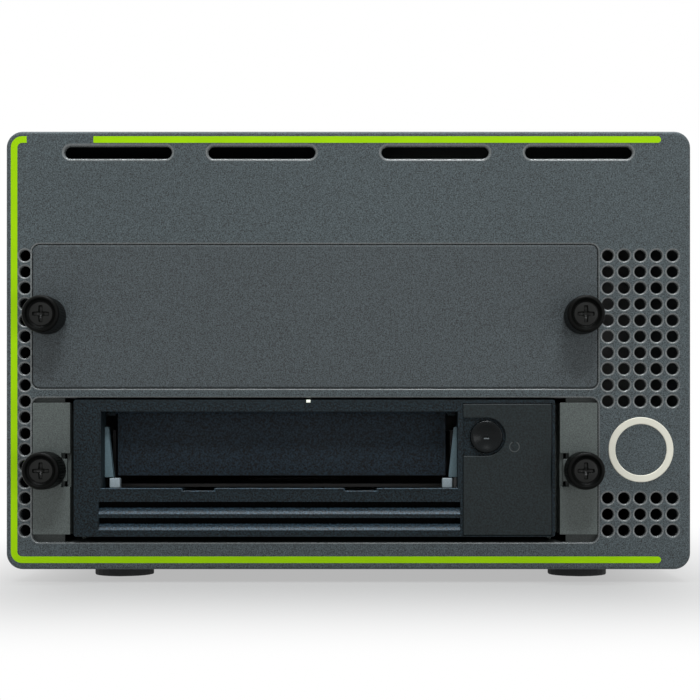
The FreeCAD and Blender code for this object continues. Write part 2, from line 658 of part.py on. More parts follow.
def make_drive_base():
    """Cast chassis: a deck between two side walls and a rear wall, open in front."""
    base = Piece("drive_base")
    base.pad("XY", drive_low, lid_low).box(drive_left, drive_right, drive_front, drive_rear)
    base.cut("XY", deck, lid_low).box(
        cavity_left, cavity_right, drive_front, drive_rear - s.drive_wall)
    base.cut("XY", drive_low, deck_low).box(cavity_left, cavity_right, drive_front, drive_rear)
    return base


def make_drive_lid():
    """Sheet lid with a turned-down edge along each side."""
    lid = Piece("drive_lid")
    lid.pad("XY", lid_low, drive_high).box(drive_left, drive_right, drive_front, drive_rear)
    gap = s.sheet_gap
    edges = lid.pad("XY", lid_low - s.lid_return, lid_low)
    for near, far in ((cavity_left + gap, cavity_left + gap + s.lid_sheet),
                      (cavity_right - gap - s.lid_sheet, cavity_right - gap)):
        edges.box(near, far, carrier_back, drive_rear - 4 * s.drive_wall)


def make_bezel():
    """Moulded bezel: skin and rim, cartridge mouth with its tunnel, louvres and button hole."""
    bezel = Piece("drive_bezel")
    wall, back = s.bezel_wall, drive_front
    bezel.pad("XZ", bezel_front, skin_back).rounded_box(
        bezel_left, bezel_right, bezel_low, bezel_high, s.bezel_corner)
    rim = bezel.pad("XZ", skin_back, back)
    rim.box(bezel_left, bezel_right, bezel_low, bezel_high)
    rim.box(bezel_left + wall, bezel_right - wall, bezel_low + wall, bezel_high - wall)
    skin = s.tunnel_wall
    bezel.pad("XZ", skin_back, s.tunnel_depth).box(
        mouth_left - skin, mouth_right + skin, mouth_low - skin, mouth_high + skin)
    lugs = bezel.pad("XZ", s.tunnel_depth, door_y + s.lug_margin)
    for near, far in ((lug_left, lug_left + s.lug_width), (lug_right - s.lug_width, lug_right)):
        lugs.box(near, far, door_z - s.lug_margin, mouth_high + skin)
    bezel.cut("XZ", bezel_front, s.tunnel_depth).box(mouth_left, mouth_right, mouth_low, mouth_high)
    notches = bezel.cut("XZ", bezel_front, s.tunnel_depth)
    half = s.mouth_notch_width / 2
    for turn in (-0.5, 0.5):
        middle = s.mouth_centre_x + turn * s.mouth_notch_pitch
        notches.box(middle - half, middle + half, mouth_low - s.mouth_notch_depth, mouth_low)
    bezel.cut("YZ", lug_left, lug_right).circle(door_y, door_z, s.barrel_radius + s.barrel_gap)
    for rise in (s.louvre_rise, s.louvre_rise + s.louvre_pitch):
        low = bezel_low + rise
        high = low + s.louvre_height
        middle = (low + high) / 2
        start = s.mouth_centre_x - s.louvre_length / 2
        bezel.cut("YZ", start, start + s.louvre_length).polygon([
            (bezel_front, low), (bezel_front + s.louvre_ledge, middle), (skin_back, middle),
            (skin_back, high), (bezel_front, high)])
    gap = s.insert_gap
    bezel.cut("XZ", bezel_front, bezel_front + s.insert_thick).box(
        insert_left - gap, insert_right + gap, insert_low - gap, insert_high + gap)
    bezel.cut("XZ", bezel_front, skin_back).circle(button_x, button_z, s.button_radius + s.button_gap)
    light = s.light_width / 2
    bezel.cut("XZ", bezel_front, back).box(
        s.light_x - light, s.light_x + light, bezel_high - s.light_height, bezel_high)


def make_control_panel():
    """Smooth insert beside the mouth, notched round the eject button."""
    insert = Piece("bezel_control_panel")
    front, back = bezel_front, bezel_front + s.insert_thick
    radius = s.button_radius + s.button_ring_gap
    insert.pad("XZ", front, back).box(insert_left, insert_right, insert_low, insert_high)
    insert.cut("XZ", front, back).slot(
        insert_left - radius, button_z, button_x, button_z, radius)


def make_button_and_light():
    """Domed eject button, and the light pipe in the bezel's top edge."""
    button = Piece("eject_button", button_x, 0, button_z)
    front = bezel_front - s.button_dome
    button.pad("XZ", front, skin_back).flats(0, 0, s.button_radius, TURNED_FLATS)
    button.chamfer(s.button_dome, on_plane("Y", front.number))
    pipe = Piece("status_light_pipe")
    half = s.light_width / 2 - s.light_gap
    pipe.pad("XZ", bezel_front, drive_front).box(
        s.light_x - half, s.light_x + half, bezel_high - s.light_height + s.light_gap, bezel_high)


def make_door():
    """Flap that closes the cartridge mouth, one piece with the barrel it swings on."""
    door = Piece("cartridge_door", s.mouth_centre_x, door_y, door_z)
    half, reach = s.door_thick / 2, s.door_width / 2
    door.pad("XZ", -half, half).box(-reach, reach, -s.door_height, 0)
    door.pad("YZ", -barrel_half, barrel_half).circle(0, 0, s.barrel_radius)


def make_guides():
    """White corner tips and the tall tapered strips that centre a cartridge in the mouth."""
    tips = Piece("cartridge_guides")
    outline = tips.pad("XZ", s.tunnel_depth - s.tip_depth, s.tunnel_depth)
    for near in (mouth_left + s.tip_inset, mouth_right - s.tip_inset - s.tip_width):
        outline.box(near, near + s.tip_width, mouth_low, mouth_low + s.tip_height)
    strips = Piece("loader_side_strips")
    low = mouth_low + s.strip_rise
    high = low + s.strip_height
    wedges = strips.pad("XZ", s.tunnel_depth - s.strip_depth, s.tunnel_depth)
    for edge, out in ((mouth_left, 1), (mouth_right, -1)):
        wedges.polygon([(edge, low), (edge + out * s.strip_foot, low),
                        (edge + out * s.strip_top, high), (edge, high)])


def make_carrier():
    """Folded cartridge tray with a window over the hub and two cam pins on its right wall."""
    tray = Piece("cartridge_carrier")
    sheet_thick = s.carrier_sheet
    high = carrier_low + s.carrier_wall
    tray.pad("XZ", s.carrier_front, carrier_back).polygon([
        (carrier_left, carrier_low), (carrier_right, carrier_low), (carrier_right, high),
        (carrier_right - sheet_thick, high), (carrier_right - sheet_thick, carrier_low + sheet_thick),
        (carrier_left + sheet_thick, carrier_low + sheet_thick), (carrier_left + sheet_thick, high),
        (carrier_left, high)])
    window = s.carrier_window
    tray.cut("XY", carrier_low, carrier_low + sheet_thick).box(
        s.mouth_centre_x - window, s.mouth_centre_x + window, hub_y - window, hub_y + window)
    pins = tray.pad("YZ", carrier_right, carrier_right + s.carrier_pin_length)
    for place in cam_pins:
        pins.circle(place, cam_pin_z, s.carrier_pin_radius)


def make_cam_plate():
    """Sliding plate whose slanted slots lower the carrier as it moves back."""
    plate = Piece("loader_cam_plate")
    near = carrier_right + s.cam_gap
    plate.pad("YZ", near, near + s.cam_sheet).box(
        cam_pins[0] - s.cam_run - 2 * s.cam_margin, cam_pins[1] + s.cam_margin,
        deck + s.sheet_gap, cam_pin_z + s.cam_margin)
    slots = plate.cut("YZ", near, near + s.cam_sheet)
    for place in cam_pins:
        slots.slot(place - s.cam_run, cam_pin_z - s.carrier_drop, place, cam_pin_z,
                   s.carrier_pin_radius + s.carrier_pin_gap)
    motor = Piece("loader_motor")
    axis_x = near + 2 * s.cam_margin
    axis_z = deck + s.loader_motor_radius + s.part_gap
    motor.pad("XZ", cam_pins[0], cam_pins[0] + s.loader_motor_length).flats(
        axis_x, axis_z, s.loader_motor_radius, TURNED_FLATS)


def make_reels():
    """The two flat motors, the hub that drives the cartridge, and the take-up reel."""
    motors = Piece("reel_motors")
    motor_high = deck + s.motor_height
    discs = motors.pad("XY", deck, motor_high)
    discs.flats(s.mouth_centre_x, hub_y, s.motor_radius, TURNED_FLATS)
    discs.flats(s.reel_x, s.reel_y, s.motor_radius, TURNED_FLATS)
    start = motor_high + s.reel_gap
    hub = Piece("hub_clutch", s.mouth_centre_x, hub_y, start)
    hub.pad("XY", 0, s.hub_height).flats(0, 0, s.hub_radius, TURNED_FLATS)
    hub.pad("XY", s.hub_height, s.hub_height + s.spindle_height).circle(0, 0, s.spindle_radius)
    reel = Piece("take_up_reel", s.reel_x, s.reel_y, start)
    reel.pad("XY", 0, s.reel_flange).flats(0, 0, s.reel_radius, TURNED_FLATS)
    reel.pad("XY", s.reel_flange, s.reel_height).flats(0, 0, s.reel_core_radius, TURNED_FLATS)
    reel.cut("XY", s.reel_flange, s.reel_height).circle(0, 0, s.spindle_radius)


def make_head():
    """Head foot with two square posts, and the carriage that rides up and down them."""
    base = Piece("head_base", s.head_x, s.head_y, deck)
    half, deep = s.head_width / 2, s.head_depth / 2
    post = s.post_width / 2
    base.pad("XY", 0, s.head_foot).box(-half, half, -deep, deep)
    posts = base.pad("XY", s.head_foot, s.head_foot + s.post_height)
    carriage = Piece("head_carriage", s.head_x, s.head_y, deck + s.head_foot + s.post_height / 2)
    block = carriage.pad("XY", -s.head_height / 2, s.head_height / 2)
    block.box(-half, half, -deep, deep)
    for middle in (-half * 0.65, half * 0.65):
        posts.box(middle - post, middle + post, -post, post)
        gap = post + s.part_gap
        block.box(middle - gap, middle + gap, -gap, gap)


def make_drive_electronics():
    """Main board under the deck and the blind-mate connector on the rear wall."""
    board = Piece("drive_main_board")
    high = deck_low - s.board_gap
    margin = s.board_margin
    board.pad("XY", high - s.board_sheet, high).box(
        cavity_left + margin, cavity_right - margin, drive_front + 2 * margin, drive_rear - margin)
    plug = Piece("drive_connector", s.drive_centre_x, drive_rear, connector_z)
    half, tall = s.connector_width / 2, s.connector_height / 2
    plug.pad("XZ", 0, s.connector_depth).box(-half, half, -tall, tall)
    reach = half - s.tongue_margin
    plug.pad("XZ", s.connector_depth, s.connector_depth + s.tongue_length).box(
        -reach, reach, -s.tongue_height / 2, s.tongue_height / 2)


# Rear compartment -----------------------------------------------------------------------------

def make_backplane():
    """Board across the back of the cage, with one socket facing each bay."""
    board = Piece("backplane_board")
    margin = s.backplane_margin
    board.pad("XZ", s.bay_depth, s.bay_depth + s.board_sheet).box(
        bay_left, bay_right, inner_low + margin, cage_top - margin)
    sockets = Piece("backplane_sockets")
    half, tall = s.connector_width / 2, s.connector_height / 2
    front = drive_rear + s.connector_depth + s.cam_gap
    shells = sockets.pad("XZ", front, s.bay_depth)
    recess = sockets.cut("XZ", front, front + s.tongue_length)
    gap = s.cam_gap
    for up in (connector_z, connector_z + s.bay_height + s.bay_web):
        shells.box(s.drive_centre_x - half, s.drive_centre_x + half, up - tall, up + tall)
        reach = half - s.tongue_margin + gap
        recess.box(s.drive_centre_x - reach, s.drive_centre_x + reach,
                   up - s.tongue_height / 2 - gap, up + s.tongue_height / 2 + gap)


def make_power_parts():
    """Power supply, mains inlet with its blades, and the rocker switch."""
    supply = Piece("power_supply")
    supply.pad("XZ", s.supply_front, rear_inside - s.rear_flange - s.backplane_margin).box(
        s.supply_left, s.supply_left + s.supply_width, inner_low, inner_low + s.supply_height)
    inlet = Piece("power_inlet", s.inlet_x, rear_face, s.inlet_z)
    half, tall, lip = s.inlet_width / 2, s.inlet_height / 2, s.inlet_lip
    inlet.pad("XZ", s.inlet_flange - s.inlet_depth, 0).box(-half, half, -tall, tall)
    inlet.pad("XZ", 0, s.inlet_flange).rounded_box(
        -half - lip, half + lip, -tall - lip, tall + lip, lip)
    wide, high = s.cavity_width / 2, s.cavity_height / 2
    bevel = s.cavity_bevel
    floor = s.inlet_flange - s.cavity_depth
    inlet.cut("XZ", floor, s.inlet_flange).polygon([
        (-wide, -high), (wide, -high), (wide, high - bevel), (wide - bevel, high),
        (-wide + bevel, high), (-wide, high - bevel)])
    blades = Piece("inlet_blades", s.inlet_x, rear_face, s.inlet_z)
    outline = blades.pad("XZ", floor, floor + s.blade_length)
    for across, up in ((-s.blade_spread, -s.blade_rise), (0, s.blade_rise),
                       (s.blade_spread, -s.blade_rise)):
        outline.box(across - s.blade_width / 2, across + s.blade_width / 2,
                    up - s.blade_height / 2, up + s.blade_height / 2)


def make_switch():
    """Rocker switch: a frame through the rear panel and the tilting rocker in it."""
    frame = Piece("switch_frame", s.switch_x, rear_face, s.inlet_z)
    half, tall, lip = s.switch_width / 2, s.switch_height / 2, s.inlet_lip
    frame.pad("XZ", s.inlet_flange - s.switch_depth, 0).box(-half, half, -tall, tall)
    frame.pad("XZ", 0, s.inlet_flange).rounded_box(
        -half - lip, half + lip, -tall - lip, tall + lip, lip)
    floor = s.inlet_flange - s.switch_depth + s.switch_floor
    wall = s.switch_wall
    frame.cut("XZ", floor, s.inlet_flange).box(-half + wall, half - wall, -tall + wall, tall - wall)
    bite = half - wall + s.barrel_bite
    frame.cut("YZ", -bite - s.part_gap, bite + s.part_gap).circle(
        s.inlet_flange - s.rocker_face, 0, s.rocker_barrel + s.barrel_gap)
    rocker = Piece("power_rocker", s.switch_x, rocker_y, s.inlet_z)
    reach = half - wall - s.rocker_gap
    cosine, sine = s.rocker_throw.cosine(), s.rocker_throw.sine()
    face, wing, thick = s.rocker_face, s.rocker_wing, s.rocker_thick
    rocker.pad("YZ", -reach, reach).polygon([
        (face, 0), (face, wing), (face - thick, wing), (-s.rocker_back, thick),
        (-s.rocker_back, -thick), (face + wing * sine - thick * cosine, -wing * cosine - thick * sine),
        (face + wing * sine, -wing * cosine)])
    rocker.pad("YZ", -bite, bite).circle(0, 0, s.rocker_barrel)


def make_ports():
    """Interface card on its posts, with a row of small oval sockets through the rear panel."""
    card = Piece("interface_board")
    card.pad("XY", card_low, card_low + s.board_sheet).box(
        s.card_left, s.card_right, card_front, rear_inside - s.cam_gap)
    ports = Piece("data_ports")
    back = rear_face + s.port_proud
    shell = ports.pad("XZ", back - s.port_depth, back)
    mouth = ports.cut("XZ", back - s.port_depth / 2, back)
    for across in port_places:
        for outline, grow in ((shell, Size.of(0)), (mouth, -s.port_shell)):
            outline.box(across - s.port_width / 2 - grow, across + s.port_width / 2 + grow,
                        s.port_z - s.port_height / 2 - grow, s.port_z + s.port_height / 2 + grow)


def make_fan():
    """Square fan frame with a hub on four struts, and the rotor that turns in it."""
    frame = Piece("fan_frame", s.fan_centre_x, rear_inside, s.fan_centre_z)
    half, front = s.fan_side / 2, -s.fan_depth
    frame.pad("XZ", front, 0).box(-half, half, -half, half)
    frame.cut("XZ", front, 0).circle(0, 0, s.fan_bore_radius)
    strut, back = s.fan_strut / 2, front + s.fan_strut_depth
    reach = s.fan_bore_radius + 1
    frame.pad("XZ", front, back).polygon([
        (-reach, -strut), (-strut, -strut), (-strut, -reach), (strut, -reach),
        (strut, -strut), (reach, -strut), (reach, strut), (strut, strut),
        (strut, reach), (-strut, reach), (-strut, strut), (-reach, strut)])
    frame.pad("XZ", front, back).flats(0, 0, s.fan_hub_radius, TURNED_FLATS)
    rotor = Piece("fan_rotor", s.fan_centre_x, rear_inside + back + s.fan_rotor_gap, s.fan_centre_z)
    length = s.fan_depth - s.fan_strut_depth - 2 * s.fan_rotor_gap
    rotor.pad("XZ", 0, length).flats(0, 0, s.fan_hub_radius, TURNED_FLATS)
    tip = s.fan_bore_radius - s.fan_tip_gap
    lean, blade = s.fan_blade_pitch / 2, s.fan_blade_sheet
    near, far = s.fan_rotor_gap, length - s.fan_rotor_gap
    rotor.pad("YZ", s.fan_hub_radius - 1, tip).polygon([
        (near, -lean), (near + blade, -lean), (far, lean), (far - blade, lean)])
    rotor.ring_repeat("Y", s.fan_blades)


# Checks and export ----------------------------------------------------------------------------

def check_and_export():
    """Recompute, stop on any failed object or bad shape, and write each piece to its file."""
    document.recompute()
    faults = [item.Label for item in document.Objects
              if "Invalid" in item.State or "Error" in item.State]
    for body in PIECES:
        if body.Shape.isNull() or not body.Shape.isValid():
            faults.append(body.Label)
    if faults:
        raise RuntimeError("failed: " + ", ".join(faults))
    os.makedirs("parts", exist_ok=True)
    for body in PIECES:
        body.Shape.exportStep(f"parts/{body.Label}.step")


make_front_panel()
make_cover_and_tray()
make_rear_panel()
make_bay_walls()
make_shelves()
make_feet()
make_blank_plate()
make_thumbscrews()
make_rail_brackets()
make_drive_base()
make_drive_lid()
make_bezel()
make_control_panel()
make_button_and_light()
make_door()
make_guides()
make_carrier()
make_cam_plate()
make_reels()
make_head()
make_drive_electronics()
make_backplane()
make_power_parts()
make_switch()
make_ports()
make_fan()
check_and_export()
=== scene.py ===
"""Looks of a desktop enclosure with a half-height tape drive in its lower bay.

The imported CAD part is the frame.  This script paints its nodes, and adds or stands in for the
pieces that need a finer surface than the CAD gives: the punched front panel, the printed stripe,
the thumbscrews, the button, small fasteners and the parts on the boards.

Sizes in the data classes are millimetres, measured as the CAD draws them: y = 0 is the face of
the front panel, z = 0 the desk, and x = 0 the middle of the panel.  `to_row` turns them into
metres in the row's frame.
"""

from __future__ import annotations

import logging
import math
from dataclasses import dataclass, field
from enum import Enum
from typing import Callable, Iterable

import bpy
import numpy as np
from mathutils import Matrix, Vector
from mathutils.geometry import delaunay_2d_cdt

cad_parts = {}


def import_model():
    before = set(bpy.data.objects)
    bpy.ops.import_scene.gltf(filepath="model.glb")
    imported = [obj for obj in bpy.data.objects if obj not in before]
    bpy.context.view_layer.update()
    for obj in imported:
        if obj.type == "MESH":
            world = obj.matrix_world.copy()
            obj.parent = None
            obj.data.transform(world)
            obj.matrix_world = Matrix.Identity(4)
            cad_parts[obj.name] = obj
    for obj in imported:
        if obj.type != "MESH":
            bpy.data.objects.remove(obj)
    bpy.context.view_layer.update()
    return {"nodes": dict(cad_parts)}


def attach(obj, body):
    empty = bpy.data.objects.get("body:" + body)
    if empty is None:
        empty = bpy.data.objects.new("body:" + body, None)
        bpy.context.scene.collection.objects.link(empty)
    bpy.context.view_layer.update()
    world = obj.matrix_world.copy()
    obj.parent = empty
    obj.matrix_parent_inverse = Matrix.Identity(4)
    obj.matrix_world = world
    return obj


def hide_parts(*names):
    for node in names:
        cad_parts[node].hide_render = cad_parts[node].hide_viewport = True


LOG = logging.getLogger("tape_drive")
MM = 0.001
# What the row's frame adds to y, in millimetres.
ROW_Y = -143.85
# Corners closer than this, in metres, are joined; edges bent by more degrees are rounded.
WELD_DISTANCE = 2e-6
BEVEL_ANGLE = 40.0
Array = np.ndarray


class Body(str, Enum):
    """The CAD bodies that new pieces ride on."""

    CASE = "case"
    DRIVE = "drive_module"
    BUTTON = "eject_button"


class Facing(Enum):
    """Which way a small piece looks, as the turn that takes -y there."""

    REAR = ((-1, 0, 0), (0, -1, 0), (0, 0, 1))
    LEFT = ((0, 1, 0), (-1, 0, 0), (0, 0, 1))
    RIGHT = ((0, -1, 0), (1, 0, 0), (0, 0, 1))
    TOP = ((1, 0, 0), (0, 0, 1), (0, -1, 0))


class Corner(str, Enum):
    """The four thumbscrews, by the names that their nodes end in."""

    UPPER_LEFT = "upper_left"
    UPPER_RIGHT = "upper_right"
    LOWER_LEFT = "lower_left"
    LOWER_RIGHT = "lower_right"


def to_row(points: Array) -> Array:
    """Turn millimetres, as the CAD draws them, into metres in the row's frame.

    Args:
        points: An array whose last axis is x, y, z.

    Returns:
        An array of the same shape.
    """
    return (np.asarray(points, float) + np.array([0.0, ROW_Y, 0.0])) * MM


def smooth(t: Array | float) -> Array:
    """Ease from 0 to 1 with flat ends.

    Args:
        t: How far along, clipped to 0..1.

    Returns:
        3t^2 - 2t^3.
    """
    t = np.clip(t, 0.0, 1.0)
    return t * t * (3.0 - 2.0 * t)


# Surfaces -------------------------------------------------------------------------------------


@dataclass
class Surface:
    """A computed mesh in millimetres: its points and its faces."""

    points: list[Array] = field(default_factory=list)
    faces: list[tuple[int, ...]] = field(default_factory=list)
    count: int = 0

    def add(self, points: Array, faces: Iterable[tuple[int, ...]]) -> int:
        """Append a patch.

        Args:
            points: n x 3 points.
            faces: Faces, numbered from the patch's own first point.

        Returns:
            The number of the patch's first point in the whole surface.
        """
        start = self.count
        points = np.asarray(points, float).reshape(-1, 3)
        self.points.append(points)
        self.faces.extend(tuple(int(i) + start for i in face) for face in faces)
        self.count += len(points)
        return start

    def grid(self, points: Array, wrap: bool = False, flip: bool = False) -> int:
        """Append a grid of quads.

        Args:
            points: rows x columns x 3 points.
            wrap: True joins the last column to the first.
            flip: True turns the faces over.

        Returns:
            The number of the grid's first point.
        """
        rows, columns = points.shape[:2]
        last = columns if wrap else columns - 1
        across, down = np.meshgrid(np.arange(last), np.arange(rows - 1))
        after = (across + 1) % columns
        quads = np.stack([down * columns + across, down * columns + after,
                          (down + 1) * columns + after, (down + 1) * columns + across], -1)
        quads = quads.reshape(-1, 4)
        return self.add(points.reshape(-1, 3), quads[:, ::-1] if flip else quads)

    def copy(self, other: "Surface", place: tuple[float, float, float],
             facing: "Facing") -> None:
        """Append a copy of another surface, drawn about the origin and looking towards -y.

        Args:
            other: What is copied.
            place: Where its origin goes.
            facing: Which way the copy looks.
        """
        turned = np.concatenate(other.points) @ np.array(facing.value, float).T
        self.add(turned + np.array(place), other.faces)

    def build(self, name: str, body: str, finish: "Finish", slot: str,
              replaces: Iterable[str] = (), sharp: float = 32.0) -> bpy.types.Object:
        """Make the mesh an object that rides on a body.

        Args:
            name: The piece's name.
            body: The CAD body that it moves with.
            finish: What it is painted with.
            slot: The record's material slot; not used.
            replaces: CAD nodes that it stands for.
            sharp: Edges bent by more than this many degrees stay crisp.

        Returns:
            The new object, at the origin.
        """
        mesh = bpy.data.meshes.new(name)
        mesh.from_pydata(to_row(np.concatenate(self.points)).tolist(), [], self.faces)
        mesh.validate()
        mesh.shade_smooth()
        mesh.set_sharp_from_angle(angle=math.radians(sharp))
        mesh.materials.append(finish.material())
        piece = bpy.data.objects.new(name, mesh)
        bpy.context.scene.collection.objects.link(piece)
        weigh_normals(piece)
        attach(piece, body)
        if replaces:
            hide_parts(*replaces)
        return piece


def weigh_normals(piece: bpy.types.Object) -> None:
    """Let large flat faces keep flat shading where they run into rounded edges.

    Args:
        piece: The mesh object.
    """
    weighted = piece.modifiers.new("WeightedNormal", "WEIGHTED_NORMAL")
    weighted.keep_sharp = True
    weighted.weight = 60


@dataclass(frozen=True)
class Outline:
    """A closed line in the x-z plane, with the unit vector into the sheet at each point.

    Attributes:
        points: n x 2 points, anticlockwise seen from the front.
        inward: n x 2 unit vectors towards the metal.
    """

    points: Array
    inward: Array

    @staticmethod
    def band(corners: list[tuple[float, float, float]], steps: int, hole: bool) -> "Outline":
        """The taut band round a list of circles.

        Each corner is an arc, p(t) = c + r (cos t, sin t), and straight lines join the arcs.

        Args:
            corners: (x, z, radius) in anticlockwise order.
            steps: Segments in each arc.
            hole: True if the sheet lies outside the band.

        Returns:
            The outline.
        """
        middles = np.array([corner[:2] for corner in corners], float)
        headings = np.roll(middles, -1, 0) - middles
        leaving = np.arctan2(headings[:, 1], headings[:, 0]) - math.pi / 2
        points, normals = [], []
        for index, (x, z, radius) in enumerate(corners):
            before, after = leaving[index - 1], leaving[index]
            while after < before - 1e-9:
                after += 2 * math.pi
            turn = np.linspace(before, after, steps + 1)
            ray = np.stack([np.cos(turn), np.sin(turn)], -1)
            points.append(np.array([x, z]) + radius * ray)
            normals.append(ray if hole else -ray)
        return Outline(np.concatenate(points), np.concatenate(normals))

    @staticmethod
    def circle(x: float, z: float, radius: float, steps: int) -> "Outline":
        """A round hole.

        Args:
            x: Middle across.
            z: Middle up.
            radius: Radius.
            steps: Segments.

        Returns:
            The outline, with the sheet outside it.
        """
        turn = np.arange(steps) * 2 * math.pi / steps
        ray = np.stack([np.cos(turn), np.sin(turn)], -1)
        return Outline(np.array([x, z]) + radius * ray, ray)

    @staticmethod
    def box(left: float, right: float, low: float, high: float, radius: float, steps: int,
            hole: bool) -> "Outline":
        """A rounded rectangle.

        Args:
            left: Lowest x.
            right: Highest x.
            low: Lowest z.
            high: Highest z.
            radius: Corner radius.
            steps: Segments in each corner.
            hole: True if the sheet lies outside it.

        Returns:
            The outline.
        """
        r = radius
        return Outline.band([(left + r, low + r, r), (right - r, low + r, r),
                             (right - r, high - r, r), (left + r, high - r, r)], steps, hole)

    def shifted(self, distance: float) -> Array:
        """The line moved into the sheet.

        Args:
            distance: How far.

        Returns:
            n x 2 points.
        """
        return self.points + self.inward * distance

    def at(self, y: float, distance: float = 0.0) -> Array:
        """The line as 3-D points on a plane of constant y.

        Args:
            y: The plane.
            distance: How far the line is moved into the sheet first.

        Returns:
            n x 3 points.
        """
        flat = self.shifted(distance)
        return np.stack([flat[:, 0], np.full(len(flat), y), flat[:, 1]], -1)

    def rolled(self, front: float, radius: float, back: float, steps: int = 4) -> Array:
        """The rounded edge and the wall behind it, as a grid.

        The edge is a quarter circle: at angle a it lies r (1 - sin a) inside the sheet and
        r (1 - cos a) behind the face.

        Args:
            front: y of the face.
            radius: Radius of the rounding.
            back: y where the wall ends.
            steps: Segments in the rounding.

        Returns:
            (steps + 2) x n x 3 points.
        """
        angles = np.linspace(0, math.pi / 2, steps + 1)
        rows = [self.at(front + radius * (1 - math.cos(a)), radius * (1 - math.sin(a)))
                for a in angles]
        rows.append(self.at(back))
        return np.stack(rows)


def flat_face(surface: Surface, outer: Array, holes: list[Array], y: float,
              facing_front: bool) -> None:
    """Fill the plane between an outer line and its holes with triangles.

    Args:
        surface: Where the triangles go.
        outer: n x 2 points of the outer line.
        holes: The same for each hole.
        y: The plane.
        facing_front: True if the face looks towards -y.
    """
    loops = [outer, *holes]
    flat = np.concatenate(loops)
    starts = np.cumsum([0] + [len(loop) for loop in loops])
    rings = [list(range(starts[i], starts[i + 1])) for i in range(len(loops))]
    points, _, faces, _, _, origins = delaunay_2d_cdt(
        [Vector(point) for point in flat], [], rings, 1, 1e-7)
    kept = [face for face, origin in zip(faces, origins) if origin == [0]]
    solid = np.array([[p.x, y, p.y] for p in points])
    surface.add(solid, [face if facing_front else face[::-1] for face in kept])


def lathe(surface: Surface, profile: list[tuple[float, float]], x: float, z: float,
          steps: int = 64, ripple: Callable[[Array, Array], Array] | None = None) -> None:
    """Turn a profile round an axis along y.

    The surface is P(t, v) = (x + r cos t, y(v), z + r sin t), r = r(v) + ripple(t, v).

    Args:
        surface: Where it goes.
        profile: (radius, y) from front to back, outside.
        x: Axis across.
        z: Axis up.
        steps: Segments round.
        ripple: Adds to the radius, given the angle and the y of each point.
    """
    turn = np.arange(steps) * 2 * math.pi / steps
    radius, along = (np.array(column, float)[:, None] for column in zip(*profile))
    spread = radius + (ripple(turn[None, :], along) if ripple else 0.0)
    grid = np.stack([x + spread * np.cos(turn), along + 0.0 * turn, z + spread * np.sin(turn)], -1)
    surface.grid(grid, wrap=True)


def relief(surface: Surface, x: float, z: float, radius: float, height: Callable[..., Array],
           rings: int = 40, steps: int = 96) -> None:
    """A round face looking towards -y whose level is a formula.

    The surface is P(s, t) = (x + s cos t, h(s cos t, s sin t), z + s sin t).

    Args:
        surface: Where it goes.
        x: Middle across.
        z: Middle up.
        radius: Outer radius.
        height: y as a function of the two distances from the middle.
        rings: Rings of points.
        steps: Segments round.
    """
    reach = np.linspace(1.0, 0.0, rings + 1)[:-1, None] * radius
    turn = np.arange(steps) * 2 * math.pi / steps
    across, up = reach * np.cos(turn), reach * np.sin(turn)
    start = surface.grid(np.stack([x + across, height(across, up), z + up], -1), wrap=True,
                         flip=True)
    middle = surface.add(np.array([[x, float(height(np.zeros(1), np.zeros(1))[0]), z]]), [])
    last = start + (rings - 1) * steps
    surface.faces.extend((last + i, last + (i + 1) % steps, middle) for i in range(steps))


def cross_recess(across: Array, up: Array, arm: float, half: float) -> Array:
    """Depth of a cross recess, as a share of its deepest.

    With a and b the distances along and beside an arm, r the distance from the axis and e the
    smooth step, each arm is e((1 - 0.11 |a| - |b| / h) / 0.35) e((arm - |a|) / 0.35), times
    0.55 + 0.45 e(1 - 1.7 r / arm), which makes it deepest at the middle.

    Args:
        across: Distance across from the axis.
        up: Distance up from the axis.
        arm: Length of each arm.
        half: Half the width of an arm at the middle.

    Returns:
        0 outside the cross, up to 1 at the middle.
    """
    reach = np.hypot(across, up)
    depth = np.zeros_like(reach)
    for along, beside in ((across, up), (up, across)):
        width = half - 0.11 * half * np.abs(along)
        inside = smooth((width - np.abs(beside)) / (0.35 * half))
        inside = inside * smooth((arm - np.abs(along)) / 0.35)
        depth = np.maximum(depth, inside * (0.55 + 0.45 * smooth(1 - 1.7 * reach / arm)))
    return depth


def ribbon(surface: Surface, path: Array, half: float, front: float, back: float,
           round_start: bool, round_end: bool) -> None:
    """A flat strip of even width along a line in the x-z plane, with square or round ends.

    At each point of the line the strip spans p +- h n, n being the line's normal; a round end
    adds points at distance h e from the end, where the half width is h sqrt(1 - e^2).

    Args:
        surface: Where it goes.
        path: n x 2 points.
        half: Half the width.
        front: y of the face.
        back: y of the underside.
        round_start: True rounds the first end.
        round_end: True rounds the last end.
    """
    tangent = np.gradient(path, axis=0)
    tangent /= np.linalg.norm(tangent, axis=1, keepdims=True)
    spans = [(point, direction, half) for point, direction in zip(path, tangent)]
    eased = np.sin(np.linspace(0, math.pi / 2, 9))[1:]
    widths = [half * math.sqrt(max(1 - e * e, 4e-4)) for e in eased]
    if round_start:
        ahead = [(path[0] - tangent[0] * half * e, tangent[0], width)
                 for e, width in zip(eased, widths)]
        spans = ahead[::-1] + spans
    if round_end:
        spans += [(path[-1] + tangent[-1] * half * e, tangent[-1], width)
                  for e, width in zip(eased, widths)]
    left, right = [], []
    for point, direction, reach in spans:
        normal = np.array([-direction[1], direction[0]])
        left.append(point + normal * reach)
        right.append(point - normal * reach)
    left, right = np.array(left), np.array(right)
    levels = [(left, back), (left, front), (right, front), (right, back)]
    section = np.stack([np.stack([side[:, 0], np.full(len(side), y), side[:, 1]], -1)
                        for side, y in levels])
    surface.grid(section.transpose(1, 0, 2), flip=True)


